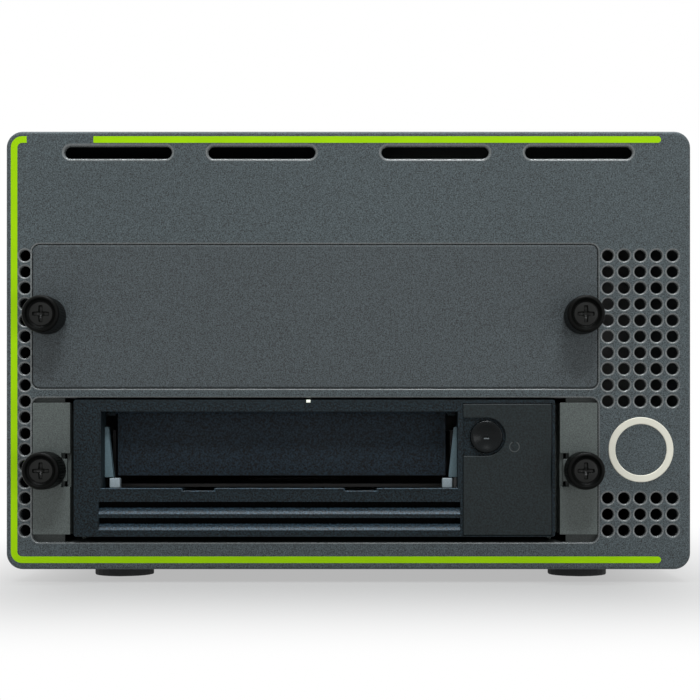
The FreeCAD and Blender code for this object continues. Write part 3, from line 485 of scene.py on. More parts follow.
def bead(surface: Surface, path: Array, radius: float, level: float, steps: int = 8) -> None:
    """A half-round bead along a line on a face that looks towards -y.

    The surface is P(i, a) = p_i + r cos(a) n_i, at y = level - r sin(a), for a from 0 to pi.

    Args:
        surface: Where it goes.
        path: n x 2 points of the line.
        radius: Radius of the bead.
        level: y of the face.
        steps: Segments across.
    """
    tangent = np.gradient(path, axis=0)
    tangent /= np.linalg.norm(tangent, axis=1, keepdims=True)
    normal = np.stack([-tangent[:, 1], tangent[:, 0]], -1)
    angle = np.linspace(0, math.pi, steps + 1)
    flat = path[:, None] + radius * np.cos(angle)[None, :, None] * normal[:, None]
    depth = np.broadcast_to(level - radius * np.sin(angle), flat.shape[:2])
    surface.grid(np.stack([flat[..., 0], depth, flat[..., 1]], -1), flip=True)


def rounded_block(surface: Surface, low: Array, high: Array, radius: float,
                  steps: int = 3) -> None:
    """A box with rounded edges and corners.

    Each point of a cube's grid is c + r d / |d|, where c is the point clamped to the box
    shrunk by r and d is what is left over.

    Args:
        surface: Where it goes.
        low: Lowest corner.
        high: Highest corner.
        radius: Radius of the edges.
        steps: Segments in each rounding.
    """
    low, high = np.asarray(low, float), np.asarray(high, float)
    core_low, core_high = low + radius, high - radius
    curve = np.tan(np.linspace(-math.pi / 4, 0, steps + 1))
    marks = np.concatenate([curve, -curve[::-1]])
    for axis in range(3):
        first, second = (axis + 1) % 3, (axis + 2) % 3
        for side in (-1, 1):
            a, b = np.meshgrid(marks, marks, indexing="ij")
            ray = np.zeros(a.shape + (3,))
            ray[..., axis], ray[..., first], ray[..., second] = side, a, b
            ray /= np.linalg.norm(ray, axis=-1, keepdims=True)
            core = np.empty_like(ray)
            core[..., axis] = core_high[axis] if side > 0 else core_low[axis]
            half = len(marks) // 2
            core[..., first] = np.where(np.arange(len(marks))[:, None] < half,
                                        core_low[first], core_high[first])
            core[..., second] = np.where(np.arange(len(marks))[None, :] < half,
                                         core_low[second], core_high[second])
            surface.grid(core + radius * ray, flip=side > 0)


# Finishes -------------------------------------------------------------------------------------


class Graph:
    """A small builder for a material's nodes."""

    def __init__(self, name: str) -> None:
        """Start an empty material.

        Args:
            name: The material's name.
        """
        self.material = bpy.data.materials.new(name)
        self.material.use_nodes = True
        self.tree = self.material.node_tree
        self.tree.nodes.clear()
        self.output = self.tree.nodes.new("ShaderNodeOutputMaterial")
        self.place = self.add("ShaderNodeTexCoord").outputs["Object"]

    def add(self, kind: str, settings: dict | None = None, **inputs: object) -> bpy.types.Node:
        """Add one node.

        Args:
            kind: Its type.
            settings: Its own properties.
            inputs: A value, or a socket to link, for each input; _ stands for a space.

        Returns:
            The node.
        """
        node = self.tree.nodes.new(kind)
        for key, value in (settings or {}).items():
            setattr(node, key, value)
        for key, value in inputs.items():
            socket = node.inputs[key.replace("_", " ")]
            if isinstance(value, bpy.types.NodeSocket):
                self.tree.links.new(value, socket)
            else:
                socket.default_value = value
        return node

    def noise(self, scale: float, detail: float = 2.0, place: object = None) -> object:
        """Noise in the object's own coordinates.

        Args:
            scale: Features per metre.
            detail: Octaves.
            place: Coordinates to use instead.

        Returns:
            The noise socket, about 0.5 on average.
        """
        node = self.add("ShaderNodeTexNoise", Vector=place or self.place, Scale=scale,
                        Detail=detail)
        return node.outputs["Fac"]

    def spread(self, value: object, low: float, high: float, to_low: float,
               to_high: float) -> object:
        """Map one range to another.

        Args:
            value: The socket to map.
            low: Start of its range.
            high: End of its range.
            to_low: What low becomes.
            to_high: What high becomes.

        Returns:
            The mapped socket.
        """
        node = self.add("ShaderNodeMapRange", Value=value, From_Min=low, From_Max=high,
                        To_Min=to_low, To_Max=to_high)
        return node.outputs["Result"]

    def scaled(self, color: tuple[float, float, float], share: object) -> object:
        """A colour made lighter or darker by a socket.

        Args:
            color: Linear red, green and blue.
            share: The factor.

        Returns:
            The colour socket.
        """
        node = self.add("ShaderNodeVectorMath", {"operation": "SCALE"})
        node.inputs[0].default_value = color
        self.tree.links.new(share, node.inputs["Scale"])
        return node.outputs["Vector"]

    def bump(self, height: object, depth: float, strength: float) -> object:
        """A bump from a height socket.

        Args:
            height: 0 to 1.
            depth: What 1 stands for, in metres.
            strength: Its weight.

        Returns:
            The normal socket.
        """
        return self.add("ShaderNodeBump", Height=height, Distance=depth,
                        Strength=strength).outputs["Normal"]

    def vector(self, operation: str, first: object,
               second: tuple[float, float, float] = (0.0, 0.0, 0.0)) -> object:
        """Apply an operation to a vector.

        Args:
            operation: Its name.
            first: The vector's socket.
            second: The other vector, where the operation takes two.

        Returns:
            The socket of the result.
        """
        node = self.add("ShaderNodeVectorMath", {"operation": operation})
        self.tree.links.new(first, node.inputs[0])
        node.inputs[1].default_value = second
        return node.outputs["Vector"]

    def finish(self, shader: bpy.types.Node) -> bpy.types.Material:
        """Link the shader to the output.

        Args:
            shader: The last node.

        Returns:
            The material.
        """
        self.tree.links.new(shader.outputs[0], self.output.inputs["Surface"])
        return self.material


@dataclass(frozen=True)
class Finish:
    """What every finish has.

    Attributes:
        name: The material's name.
        color: Linear base colour.
        roughness: Mean roughness.
    """

    name: str
    color: tuple[float, float, float]
    roughness: float

    def material(self) -> bpy.types.Material:
        """Return the material, made at first use.

        Returns:
            The material.
        """
        return bpy.data.materials.get(self.name) or self.make(Graph(self.name))

    def make(self, graph: Graph) -> bpy.types.Material:
        """Build the nodes.

        Args:
            graph: An empty material.

        Returns:
            The material.
        """
        raise NotImplementedError


@dataclass(frozen=True)
class PowderCoat(Finish):
    """Fine-textured powder paint: a speckled colour over a pebbled surface.

    Attributes:
        speckle: Share by which the colour varies.
        grain: Pebbles per metre.
        depth: Depth of the pebbles in metres.
    """

    speckle: float = 0.5
    grain: float = 2800.0
    depth: float = 4e-5

    def make(self, graph: Graph) -> bpy.types.Material:
        """Mix a fine and a broad variation into the colour, over the pebbles.

        Args:
            graph: An empty material.

        Returns:
            The material.
        """
        fine = graph.noise(self.grain, 3.0)
        broad = graph.noise(14.0, 2.0)
        tint = graph.add("ShaderNodeMath", {"operation": "MULTIPLY"})
        graph.tree.links.new(graph.spread(fine, 0.3, 0.7, 1 - self.speckle, 1 + self.speckle),
                             tint.inputs[0])
        graph.tree.links.new(graph.spread(broad, 0.3, 0.7, 0.95, 1.05), tint.inputs[1])
        pebbles = graph.noise(self.grain * 0.6, 1.0)
        shader = graph.add(
            "ShaderNodeBsdfPrincipled", Base_Color=graph.scaled(self.color, tint.outputs[0]),
            Roughness=graph.spread(fine, 0.3, 0.7, self.roughness - 0.08, self.roughness + 0.08),
            Normal=graph.bump(pebbles, self.depth, 0.6), Specular_IOR_Level=0.4)
        return graph.finish(shader)


@dataclass(frozen=True)
class Moulded(Finish):
    """Moulded plastic, from a gloss to a coarse spark texture.

    Attributes:
        grain: Marks per metre.
        depth: Depth of the texture in metres.
        speckle: Share by which the colour varies; its bright specks are partly the plastic's own
            uneven tone and partly painted glints of its textured surface.
        shine: Specular level.
    """

    grain: float = 1900.0
    depth: float = 3e-5
    speckle: float = 0.15
    shine: float = 0.5

    def make(self, graph: Graph) -> bpy.types.Material:
        """Speckle the colour and roughen the surface with the moulded texture.

        Args:
            graph: An empty material.

        Returns:
            The material.
        """
        fine = graph.noise(self.grain, 2.0)
        worn = graph.noise(40.0, 3.0)
        # The colour runs from 1 - speckle up to 1 + 2 speckle: bright specks, partly the plastic's
        # uneven tone and partly painted glints of its texture.
        tint = graph.spread(fine, 0.35, 0.7, 1 - self.speckle, 1 + 2 * self.speckle)
        shader = graph.add(
            "ShaderNodeBsdfPrincipled", Base_Color=graph.scaled(self.color, tint),
            Roughness=graph.spread(worn, 0.3, 0.7, self.roughness - 0.04, self.roughness + 0.04),
            Normal=graph.bump(fine, self.depth, 0.7), Specular_IOR_Level=self.shine)
        return graph.finish(shader)


@dataclass(frozen=True)
class Metal(Finish):
    """Bare or plated metal with fine marks drawn out along one direction.

    Attributes:
        stretch: Marks per metre along x, y and z.
        depth: Depth of the marks in metres.
    """

    stretch: tuple[float, float, float] = (9.0, 1700.0, 1700.0)
    depth: float = 3e-6

    def make(self, graph: Graph) -> bpy.types.Material:
        """Draw the marks out along one direction, in colour, roughness and bump.

        Args:
            graph: An empty material.

        Returns:
            The material.
        """
        marks = graph.noise(1.0, 3.0, graph.vector("MULTIPLY", graph.place, self.stretch))
        tint = graph.spread(marks, 0.3, 0.7, 0.95, 1.04)
        shader = graph.add(
            "ShaderNodeBsdfPrincipled", Base_Color=graph.scaled(self.color, tint), Metallic=1.0,
            Roughness=graph.spread(marks, 0.3, 0.7, self.roughness - 0.05, self.roughness + 0.06),
            Normal=graph.bump(marks, self.depth, 0.4))
        return graph.finish(shader)


@dataclass(frozen=True)
class Ink(Finish):
    """Opaque printed ink with a faint orange peel.

    Attributes:
        cloud: Share by which its cover varies.
    """

    cloud: float = 0.04

    def make(self, graph: Graph) -> bpy.types.Material:
        """Vary the ink's cover, over a faint orange peel.

        Args:
            graph: An empty material.

        Returns:
            The material.
        """
        broad = graph.noise(90.0, 2.0)
        fine = graph.noise(2500.0, 2.0)
        tint = graph.spread(broad, 0.3, 0.7, 1 - self.cloud, 1 + self.cloud)
        shader = graph.add(
            "ShaderNodeBsdfPrincipled", Base_Color=graph.scaled(self.color, tint),
            Roughness=self.roughness, Normal=graph.bump(fine, 2e-5, 0.3),
            Specular_IOR_Level=0.1)
        return graph.finish(shader)


@dataclass(frozen=True)
class Lit(Finish):
    """A small light guide: white plastic that glows at its front end only.

    Attributes:
        power: How strongly it glows.
        end: y of its front end, in metres.
        reach: How far back from there the glow dies away, in metres.
    """

    power: float = 1.0
    end: float = -0.14535
    reach: float = 0.0012

    def make(self, graph: Graph) -> bpy.types.Material:
        """Let the front end glow, fading backwards.

        Args:
            graph: An empty material.

        Returns:
            The material.
        """
        core = graph.noise(900.0, 1.0)
        tint = graph.spread(core, 0.3, 0.7, 0.9, 1.1)
        along = graph.add("ShaderNodeSeparateXYZ", Vector=graph.place).outputs["Y"]
        glow = graph.spread(along, self.end, self.end + self.reach, self.power, 0.02)
        dull = tuple(0.4 * channel for channel in self.color)
        shader = graph.add(
            "ShaderNodeBsdfPrincipled", Base_Color=graph.scaled(dull, tint),
            Roughness=self.roughness, Emission_Color=graph.scaled(self.color, tint),
            Emission_Strength=glow)
        return graph.finish(shader)


@dataclass(frozen=True)
class SolderMask(Finish):
    """A circuit board: solder mask over a pattern of copper tracks.

    Attributes:
        track: Linear colour where a track lies under the mask.
        pitch: Tracks per metre.
    """

    track: tuple[float, float, float] = (0.03, 0.16, 0.06)
    pitch: float = 220.0

    def make(self, graph: Graph) -> bpy.types.Material:
        """Mix the mask's colour with that of the tracks under it.

        Args:
            graph: An empty material.

        Returns:
            The material.
        """
        cells = graph.add("ShaderNodeTexVoronoi", {"distance": "MANHATTAN"}, Vector=graph.place,
                          Scale=self.pitch)
        lines = graph.spread(cells.outputs["Distance"], 0.25, 0.35, 0.0, 1.0)
        mix = graph.add("ShaderNodeMix", {"data_type": "RGBA"}, Factor=lines)
        mix.inputs[6].default_value = (*self.color, 1.0)
        mix.inputs[7].default_value = (*self.track, 1.0)
        shader = graph.add(
            "ShaderNodeBsdfPrincipled", Base_Color=mix.outputs[2], Roughness=self.roughness,
            Normal=graph.bump(lines, 3e-5, 0.3))
        return graph.finish(shader)


PANEL = PowderCoat("PanelPaint", (0.044, 0.0575, 0.062), 0.58, speckle=0.98)
# The openings' rims: the panel's own paint, glossier and painted about three times lighter than
# the flat face; the lighter colour is a painted highlight.
RIM_HIGHLIGHT = PowderCoat("RimPaintedHighlight", (0.13, 0.14, 0.14), 0.24, speckle=0.2, depth=6e-6)
PLATE = PowderCoat("PlatePaint", (0.040, 0.050, 0.054), 0.58, speckle=0.95)
CASE = PowderCoat("CoverPaint", (0.045, 0.057, 0.062), 0.6, speckle=0.6)
EAR = PowderCoat("EarPaint", (0.075, 0.089, 0.084), 0.5, speckle=0.4)
CAGE = PowderCoat("CagePaint", (0.042, 0.049, 0.047), 0.6, speckle=0.4)
CAST = Metal("CastAluminium", (0.55, 0.56, 0.57), 0.5, stretch=(700.0, 700.0, 700.0), depth=3e-5)
BLACK_STEEL = Moulded("BlackenedSteel", (0.006, 0.007, 0.007), 0.5, depth=4e-6, shine=0.4)
STEEL = Metal("SheetSteel", (0.52, 0.53, 0.54), 0.38)
PLATED = Metal("PlatedContacts", (0.68, 0.67, 0.64), 0.25, stretch=(400.0, 400.0, 400.0))
BEZEL = Moulded("BezelPlastic", (0.0045, 0.0085, 0.011), 0.6, depth=1.4e-4, speckle=0.95,
                shine=0.16)
# The louvre blades and the mouth's lip: the bezel's own plastic, painted about three times lighter
# as a painted highlight where they face the light.
LOUVRE_HIGHLIGHT = Moulded("BezelPlasticPaintedHighlight", (0.011, 0.025, 0.037), 0.45, depth=1.6e-4, speckle=0.8,
                shine=0.35)
DOOR = Moulded("DoorPlastic", (0.005, 0.0095, 0.014), 0.6, depth=1.4e-4, speckle=0.95,
               shine=0.17)
INSERT = Moulded("InsertPlastic", (0.0055, 0.0095, 0.0105), 0.45, depth=2e-5, speckle=0.5,
                 shine=0.22)
GLOSS = Moulded("GlossPlastic", (0.0025, 0.0035, 0.004), 0.22, depth=2e-6, shine=0.12)
KNOB = Moulded("KnobPlastic", (0.0008, 0.001, 0.0008), 0.4, depth=6e-6, shine=0.07)
BLACK_SCREW = Moulded("BlackOxide", (0.0025, 0.003, 0.0025), 0.36, depth=8e-6, shine=0.22)
RUBBER = Moulded("Rubber", (0.010, 0.011, 0.012), 0.75, depth=2e-5)
TIP = Moulded("Acetal", (0.42, 0.50, 0.54), 0.4, depth=5e-6, speckle=0.05)
# The loader's side strips are the guides' white plastic, painted a dark teal grey: painted shade
# for where they sit in shadow inside the mouth.
SHADED_GUIDE_STRIP = Moulded("GuidePlasticPaintedShade", (0.10, 0.16, 0.185), 0.45, depth=5e-6, speckle=0.08)
SOCKET = Moulded("SocketPlastic", (0.015, 0.015, 0.016), 0.45, depth=8e-6)
FAN = Moulded("FanPlastic", (0.011, 0.011, 0.012), 0.5, depth=1e-5)
REEL = Moulded("ReelPlastic", (0.06, 0.06, 0.065), 0.4, depth=5e-6)
BOARD = SolderMask("SolderMask", (0.012, 0.085, 0.035), 0.35)
CAN = Metal("CapacitorSleeve", (0.40, 0.41, 0.43), 0.35, stretch=(500.0, 500.0, 500.0))
ZINC = Metal("ZincScrew", (0.50, 0.50, 0.48), 0.3, stretch=(700.0, 700.0, 700.0))
FOAM = Moulded("Foam", (0.0015, 0.0015, 0.0016), 0.95, depth=1e-4, speckle=0.4, shine=0.05)
LIME = Ink("LimeInk", (0.335, 0.635, 0.0005), 0.65)
CREAM = Ink("CreamInk", (0.72, 0.70, 0.60), 0.5)
MARK = Ink("FaintInk", (0.055, 0.062, 0.062), 0.5)
MARK_BRIGHT = Ink("MarkInk", (0.16, 0.18, 0.19), 0.4)
LIGHT = Lit("LightPipe", (0.95, 1.0, 0.86), 0.3, power=0.75)

# The record's slot and the finish of every CAD node that stays visible.
NODE_FINISHES: dict[str, tuple[str, Finish]] = {
    "top_cover": ("case_paint", CASE), "base_tray": ("case_paint", CASE),
    "rear_panel": ("case_paint", CASE), "bay_wall_left": ("cage_steel", CAGE),
    "bay_wall_right": ("cage_steel", CAGE), "bay_floor_shelf": ("cage_steel", CAGE),
    "bay_divider_shelf": ("cage_steel", CAGE), "rubber_feet": ("rubber", RUBBER),
    "blank_plate": ("plate_paint", PLATE), "rail_bracket_left": ("ear_paint", EAR),
    "rail_bracket_right": ("ear_paint", EAR), "drive_base": ("drive_cast", CAST),
    "drive_lid": ("sheet_steel", STEEL), "drive_bezel": ("bezel_plastic", BEZEL),
    "bezel_control_panel": ("insert_plastic", INSERT),
    "status_light_pipe": ("light_plastic", LIGHT), "cartridge_door": ("door_plastic", DOOR),
    "cartridge_guides": ("guide_plastic", TIP), "loader_side_strips": ("strip_plastic", SHADED_GUIDE_STRIP),
    "cartridge_carrier": ("sheet_steel", BLACK_STEEL), "loader_cam_plate": ("sheet_steel", STEEL),
    "loader_motor": ("motor_metal", STEEL), "reel_motors": ("motor_metal", STEEL),
    "hub_clutch": ("contact_metal", PLATED), "take_up_reel": ("reel_plastic", REEL),
    "head_base": ("drive_cast", CAST), "head_carriage": ("drive_cast", CAST),
    "drive_main_board": ("board", BOARD), "drive_connector": ("socket_plastic", SOCKET),
    "backplane_board": ("board", BOARD), "backplane_sockets": ("socket_plastic", SOCKET),
    "power_supply": ("supply_case", STEEL), "power_inlet": ("socket_plastic", SOCKET),
    "inlet_blades": ("contact_metal", PLATED), "switch_frame": ("socket_plastic", SOCKET),
    "power_rocker": ("button_plastic", GLOSS), "interface_board": ("board", BOARD),
    "data_ports": ("contact_metal", PLATED), "fan_frame": ("fan_plastic", FAN),
    "fan_rotor": ("fan_plastic", FAN),
}

# Radius, in millimetres, of the rounding given to the edges that are seen close to.
EDGE_ROUNDS: dict[str, float] = {
    "blank_plate": 0.45, "rail_bracket_left": 0.3, "rail_bracket_right": 0.3,
    "drive_bezel": 0.35, "bezel_control_panel": 0.3, "cartridge_door": 0.3,
    "cartridge_guides": 0.3, "status_light_pipe": 0.25, "loader_side_strips": 0.2,
    "top_cover": 0.3, "base_tray": 0.3, "rear_panel": 0.3, "power_inlet": 0.4,
    "switch_frame": 0.4, "power_rocker": 0.4, "drive_base": 0.4, "drive_lid": 0.2,
    "rubber_feet": 0.8, "cartridge_carrier": 0.2,
    "backplane_sockets": 0.3, "drive_connector": 0.3, "fan_frame": 0.4,
}

# Nodes that keep the whole radius, although some of their edges are shorter than it.
UNCLAMPED: frozenset[str] = frozenset({"blank_plate"})

# x and z of each thumbscrew's axis.
SCREW_PLACES: dict[Corner, tuple[float, float]] = {
    Corner.UPPER_LEFT: (-92.7, 82.2), Corner.UPPER_RIGHT: (72.1, 82.2),
    Corner.LOWER_LEFT: (-92.7, 34.7), Corner.LOWER_RIGHT: (72.1, 34.7),
}


def paint_nodes(frame: dict) -> None:
    """Give every CAD node its finish, and round the edges of those that are seen close to.
    """
    for node, (slot, finish) in NODE_FINISHES.items():
        piece = frame["nodes"][node]
        piece.data.materials.clear()
        piece.data.materials.append(finish.material())
        radius = EDGE_ROUNDS.get(node)
        if radius:
            weld = piece.modifiers.new("Weld", "WELD")
            weld.merge_threshold = WELD_DISTANCE
            bevel = piece.modifiers.new("Bevel", "BEVEL")
            bevel.width = radius * MM
            bevel.segments = 2
            bevel.limit_method = "ANGLE"
            bevel.angle_limit = math.radians(BEVEL_ANGLE)
            bevel.use_clamp_overlap = node not in UNCLAMPED
            weigh_normals(piece)


# Sub-assemblies -------------------------------------------------------------------------------


@dataclass
class FrontPanel:
    """The punched and bent front panel, with its printed stripe and badge.

    The sizes are the CAD's, except for the roundings of the edges.

    Attributes:
        half_width: Half the panel's width; low and high are its lower and upper edges.
        corner: Radius of its corners.
        thick: Thickness of the sheet; rim_depth and rim_wall are those of the bent rim.
        outer_round: Rounding of the outer edge; the other roundings are those of the openings.
        vent_radius: Radius of a vent hole; pitch is the distance between holes.
        vent_low: z of the lowest row; vent_left and vent_right are x of the first columns.
        bay_left: Lowest x of the bays; bay_right is the highest.
        bays: Lower and upper edge of each bay, with corners of radius bay_corner.
        slot_level: z of the slots; slot_places gives the x of their middles.
        slot_reach: Half the distance between the centres of a slot's ends.
        stripe_half: Half the stripe's width.
        stripe_inset: Distance of its middle line from the left, lower and upper edges.
        stripe_corner: Radius of its outer edge at the corners.
        stripe_break: Where it stops and starts again along the top.
        stripe_end: x of its round ends.
        ink: How far the ink stands proud.
        badge: x and z of the ring's middle; badge_radii are its inner and outer radius.
        badge_proud: How far the ring stands proud.
    """

    half_width: float = 105.75
    low: float = 4.0
    high: float = 139.4
    corner: float = 5.0
    thick: float = 2.0
    rim_depth: float = 8.0
    rim_wall: float = 1.5
    outer_round: float = 0.9
    vent_round: float = 0.55
    slot_round: float = 0.8
    bay_round: float = 0.45
    vent_radius: float = 1.75
    pitch: float = 5.0
    vent_low: float = 16.0
    vent_left: float = -100.0
    vent_right: float = 80.2
    bay_left: float = -97.8
    bay_right: float = 77.2
    bays: tuple[tuple[float, float], ...] = ((12.4, 57.0), (59.9, 104.5))
    bay_corner: float = 2.3
    slot_level: float = 132.9
    slot_reach: float = 14.65
    slot_radius: float = 1.9
    slot_places: tuple[float, ...] = (-71.2, -26.8, 26.8, 71.2)
    stripe_half: float = 1.02
    stripe_inset: tuple[float, float, float] = (2.45, 2.98, 2.56)
    stripe_corner: float = 3.5
    stripe_break: tuple[float, float] = (-99.4, -78.8)
    stripe_end: float = 96.6
    ink: float = 0.05
    badge: tuple[float, float] = (90.4, 41.0)
    badge_radii: tuple[float, float] = (7.9, 10.05)
    badge_proud: float = 0.3

    def vents(self) -> list[Outline]:
        """Set out the vent holes.

        Returns:
            Their outlines: 18 at the left, and 65 at the right, round the badge.
        """
        rows = [(self.vent_left, row) for row in range(18)]
        rows += [(self.vent_right + self.pitch * column, row)
                 for row in (*range(3), *range(8, 18)) for column in range(5)]
        return [Outline.circle(x, self.vent_low + self.pitch * row, self.vent_radius, 32)
                for x, row in rows]

    def sheet(self) -> tuple[Surface, Surface]:
        """Compute the panel: flat faces between rolled edges.

        Returns:
            The sheet with its outer edge and rim, and the edges of its openings.
        """
        surface, edges = Surface(), Surface()
        outer = Outline.box(-self.half_width, self.half_width, self.low, self.high, self.corner,
                            10, hole=False)
        wall = self.rim_wall
        inner = Outline.box(-self.half_width + wall, self.half_width - wall, self.low + wall,
                            self.high - wall, self.corner - wall, 10, hole=False)
        holes = [(outline, self.vent_round) for outline in self.vents()]
        r = self.slot_radius
        holes += [(Outline.band([(x - self.slot_reach, self.slot_level, r),
                                 (x + self.slot_reach, self.slot_level, r)], 16, hole=True),
                   self.slot_round) for x in self.slot_places]
        holes += [(Outline.box(self.bay_left, self.bay_right, low, high, self.bay_corner, 8,
                               hole=True), self.bay_round) for low, high in self.bays]
        flat_face(surface, outer.shifted(self.outer_round),
                  [hole.shifted(edge) for hole, edge in holes], 0.0, facing_front=True)
        flat_face(surface, inner.points, [hole.points for hole, _ in holes], self.thick,
                  facing_front=False)
        surface.grid(outer.rolled(0.0, self.outer_round, self.rim_depth, 6), wrap=True)
        surface.grid(np.stack([outer.at(self.rim_depth), inner.at(self.rim_depth),
                               inner.at(self.thick)]), wrap=True)
        for hole, edge in holes:
            edges.grid(hole.rolled(0.0, edge, self.thick, 5), wrap=True, flip=True)
        return surface, edges

    def stripe_paths(self) -> list[tuple[Array, bool, bool]]:
        """Draw the stripe's two middle lines.

        Returns:
            Each line's points, and whether its first and its last end is round.
        """
        from_left, from_low, from_high = self.stripe_inset
        left, low, high = -self.half_width + from_left, self.low + from_low, self.high - from_high
        radius, end = self.stripe_corner - self.stripe_half, self.stripe_end - self.stripe_half
        stop, start = self.stripe_break
        arc = np.linspace(0, math.pi / 2, 9)
        upper = np.stack([left + radius - radius * np.sin(arc),
                          high - radius + radius * np.cos(arc)], -1)
        lower = np.stack([left + radius - radius * np.cos(arc),
                          low + radius - radius * np.sin(arc)], -1)
        around = np.concatenate([[[stop, high]], upper, lower, [[0.0, low], [end, low]]])
        along = np.array([[start, high], [0.0, high], [end, high]])
        return [(around, False, True), (along, False, True)]

    def build(self) -> None:
        """Make the panel, the stripe and the badge's ring."""
        sheet, edges = self.sheet()
        sheet.build("front_panel_sheet", Body.CASE.value, PANEL, "panel_paint",
                    replaces=["front_panel"])
        # The rims take the lighter paint: a painted highlight round every opening.
        edges.build("front_panel_edges", Body.CASE.value, RIM_HIGHLIGHT, "panel_paint")
        stripe = Surface()
        for path, round_start, round_end in self.stripe_paths():
            ribbon(stripe, path, self.stripe_half, -self.ink, 0.02, round_start, round_end)
        stripe.build("accent_stripe", Body.CASE.value, LIME, "panel_paint")
        badge = Surface()
        inner, outer = self.badge_radii
        lathe(badge, [(inner, 0.02), (inner + 0.05, -0.6 * self.badge_proud),
                      (inner + 0.2, -self.badge_proud), (outer - 0.2, -self.badge_proud),
                      (outer - 0.05, -0.6 * self.badge_proud), (outer, 0.02)],
              *self.badge, steps=128)
        badge.build("badge_ring", Body.CASE.value, CREAM, "panel_paint")


@dataclass
class Thumbscrew:
    """A moulded knob with a cross-recess screw pressed through it.

    Attributes:
        corner: Which of the four it is.
        x: Axis across.
        z: Axis up.
        radius: Radius of the knob.
        front: y of the knob's rim.
        back: y of the knob's back.
        edge: Radius of the rim's outer rounding.
        bore: Radius of the hole that the screw is pressed through.
        ribs: Number of ribs on the grip.
        rib_depth: Half the depth of a rib.
        head: Radius of the screw's head.
        head_front: y of the edge of its face.
        dome: How far the face's middle stands in front of that edge.
        cross: Depth of the cross, length of its arms, and half the width of an arm.
        shank: Radius of the shank.
        tip: y of the shank's end.
        thread_pitch: Distance between the turns of the thread.
        thread_depth: Depth of the thread.
        chamfer: How much narrower the tip is than the shank.
        chamfer_run: Length of the chamfer.
    """

    corner: Corner
    x: float
    z: float
    radius: float = 5.7
    front: float = -12.3
    back: float = -0.3
    edge: float = 0.9
    bore: float = 3.75
    ribs: int = 40
    rib_depth: float = 0.09
    head: float = 3.7
    head_front: float = -11.1
    dome: float = 0.35
    cross: tuple[float, float, float] = (1.5, 2.6, 0.78)
    shank: float = 1.9
    tip: float = 6.0
    thread_pitch: float = 0.7
    thread_depth: float = 0.28
    chamfer: float = 0.3
    chamfer_run: float = 0.6

    def rib(self, turn: Array, along: Array) -> Array:
        """Radius added by the grip's ribs, which fade out towards both ends.

        Args:
            turn: Angle round the axis.
            along: y of each point.

        Returns:
            depth cos(ribs t) times a window of y.
        """
        window = smooth((along - self.front - 1.6) / 1.0) * smooth((self.back - 1.2 - along) / 1.0)
        return self.rib_depth * np.cos(self.ribs * turn) * window

    def knob(self) -> Surface:
        """Compute the knob: a rounded rim round a dished face, a ribbed side, and its bore.

        Returns:
            Its surface.
        """
        surface = Surface()
        profile = [(self.bore, self.back), (self.bore, self.front + 1.25)]
        profile += [(self.bore + 0.25, self.front + 1.1), (self.bore + 0.55, self.front + 0.75),
                    (self.bore + 0.75, self.front + 0.3), (self.bore + 0.9, self.front + 0.06)]
        profile += [(self.radius - self.edge * (1 - math.sin(a)),
                     self.front + self.edge * (1 - math.cos(a)))
                    for a in np.linspace(0, math.pi / 2, 7)]
        side = len(profile) - 1
        profile += [(self.radius, self.front + 1.6 + 0.5 * k) for k in range(3)]
        profile += [(self.radius, y) for y in np.linspace(self.front + 3.0, self.back - 2.6, 6)]
        profile += [(self.radius, self.back - 1.2), (self.radius - 0.1, self.back - 0.35),
                    (self.radius - 0.5, self.back), (self.bore, self.back)]
        outside = (np.arange(len(profile)) >= side)[:, None]
        lathe(surface, profile, self.x, self.z, steps=160,
              ripple=lambda turn, along: self.rib(turn, along) * outside)
        return surface

    def recess(self, across: Array, up: Array) -> Array:
        """Level of the screw's face: a shallow dome with a cross sunk into it.

        Args:
            across: Distance across from the axis.
            up: Distance up from the axis.

        Returns:
            y = front - dome (1 - s^2) + depth of the cross.
        """
        deepest, arm, half = self.cross
        dome = self.dome * (1 - (np.hypot(across, up) / self.head) ** 2)
        return self.head_front - dome + deepest * cross_recess(across, up, arm, half)

    def screw(self) -> Surface:
        """Compute the screw: cross-recess face, plain head, and a threaded shank.

        Returns:
            Its surface.
        """
        surface = Surface()
        relief(surface, self.x, self.z, self.head - 0.15, self.recess, rings=44, steps=112)
        head = [(self.head - 0.15, self.head_front - 0.03), (self.head, self.head_front + 0.15),
                (self.head, self.back), (self.shank, self.back)]
        lathe(surface, head, self.x, self.z, 96)
        rows = np.linspace(self.back, self.tip, 73)
        lathe(surface, [(self.shank, float(y)) for y in rows] + [(0.02, self.tip)], self.x, self.z,
              32, ripple=self.thread)
        return surface

    def thread(self, turn: Array, along: Array) -> Array:
        """Radius taken away by the thread and by the chamfer at the tip.

        Args:
            turn: Angle round the axis.
            along: y of each point.

        Returns:
            -depth |2 p - 1| times a window of y, less the chamfer, with the phase
            p = y / pitch - t / 2 pi; 0 on the tip's own face.
        """
        phase = (along / self.thread_pitch - turn / (2 * math.pi)) % 1.0
        fade = smooth((self.tip - along) / 0.8) * smooth((along - self.back) / self.chamfer_run)
        groove = self.thread_depth * np.abs(2 * phase - 1) * fade
        chamfer = self.chamfer * (1 - smooth((self.tip - along) / self.chamfer_run))
        return np.where(along < self.tip, -groove - chamfer, 0.0)

    def build(self) -> None:
        """Make both pieces; each rides on the thumbscrew's own body."""
        name = self.corner.value
        body = f"thumbscrew_{name}"
        self.knob().build(f"grip_{name}", body, KNOB, "knob_plastic", replaces=[f"knob_{name}"])
        self.screw().build(f"cross_screw_{name}", body, BLACK_SCREW, "screw_black",
                           replaces=[f"screw_{name}"])


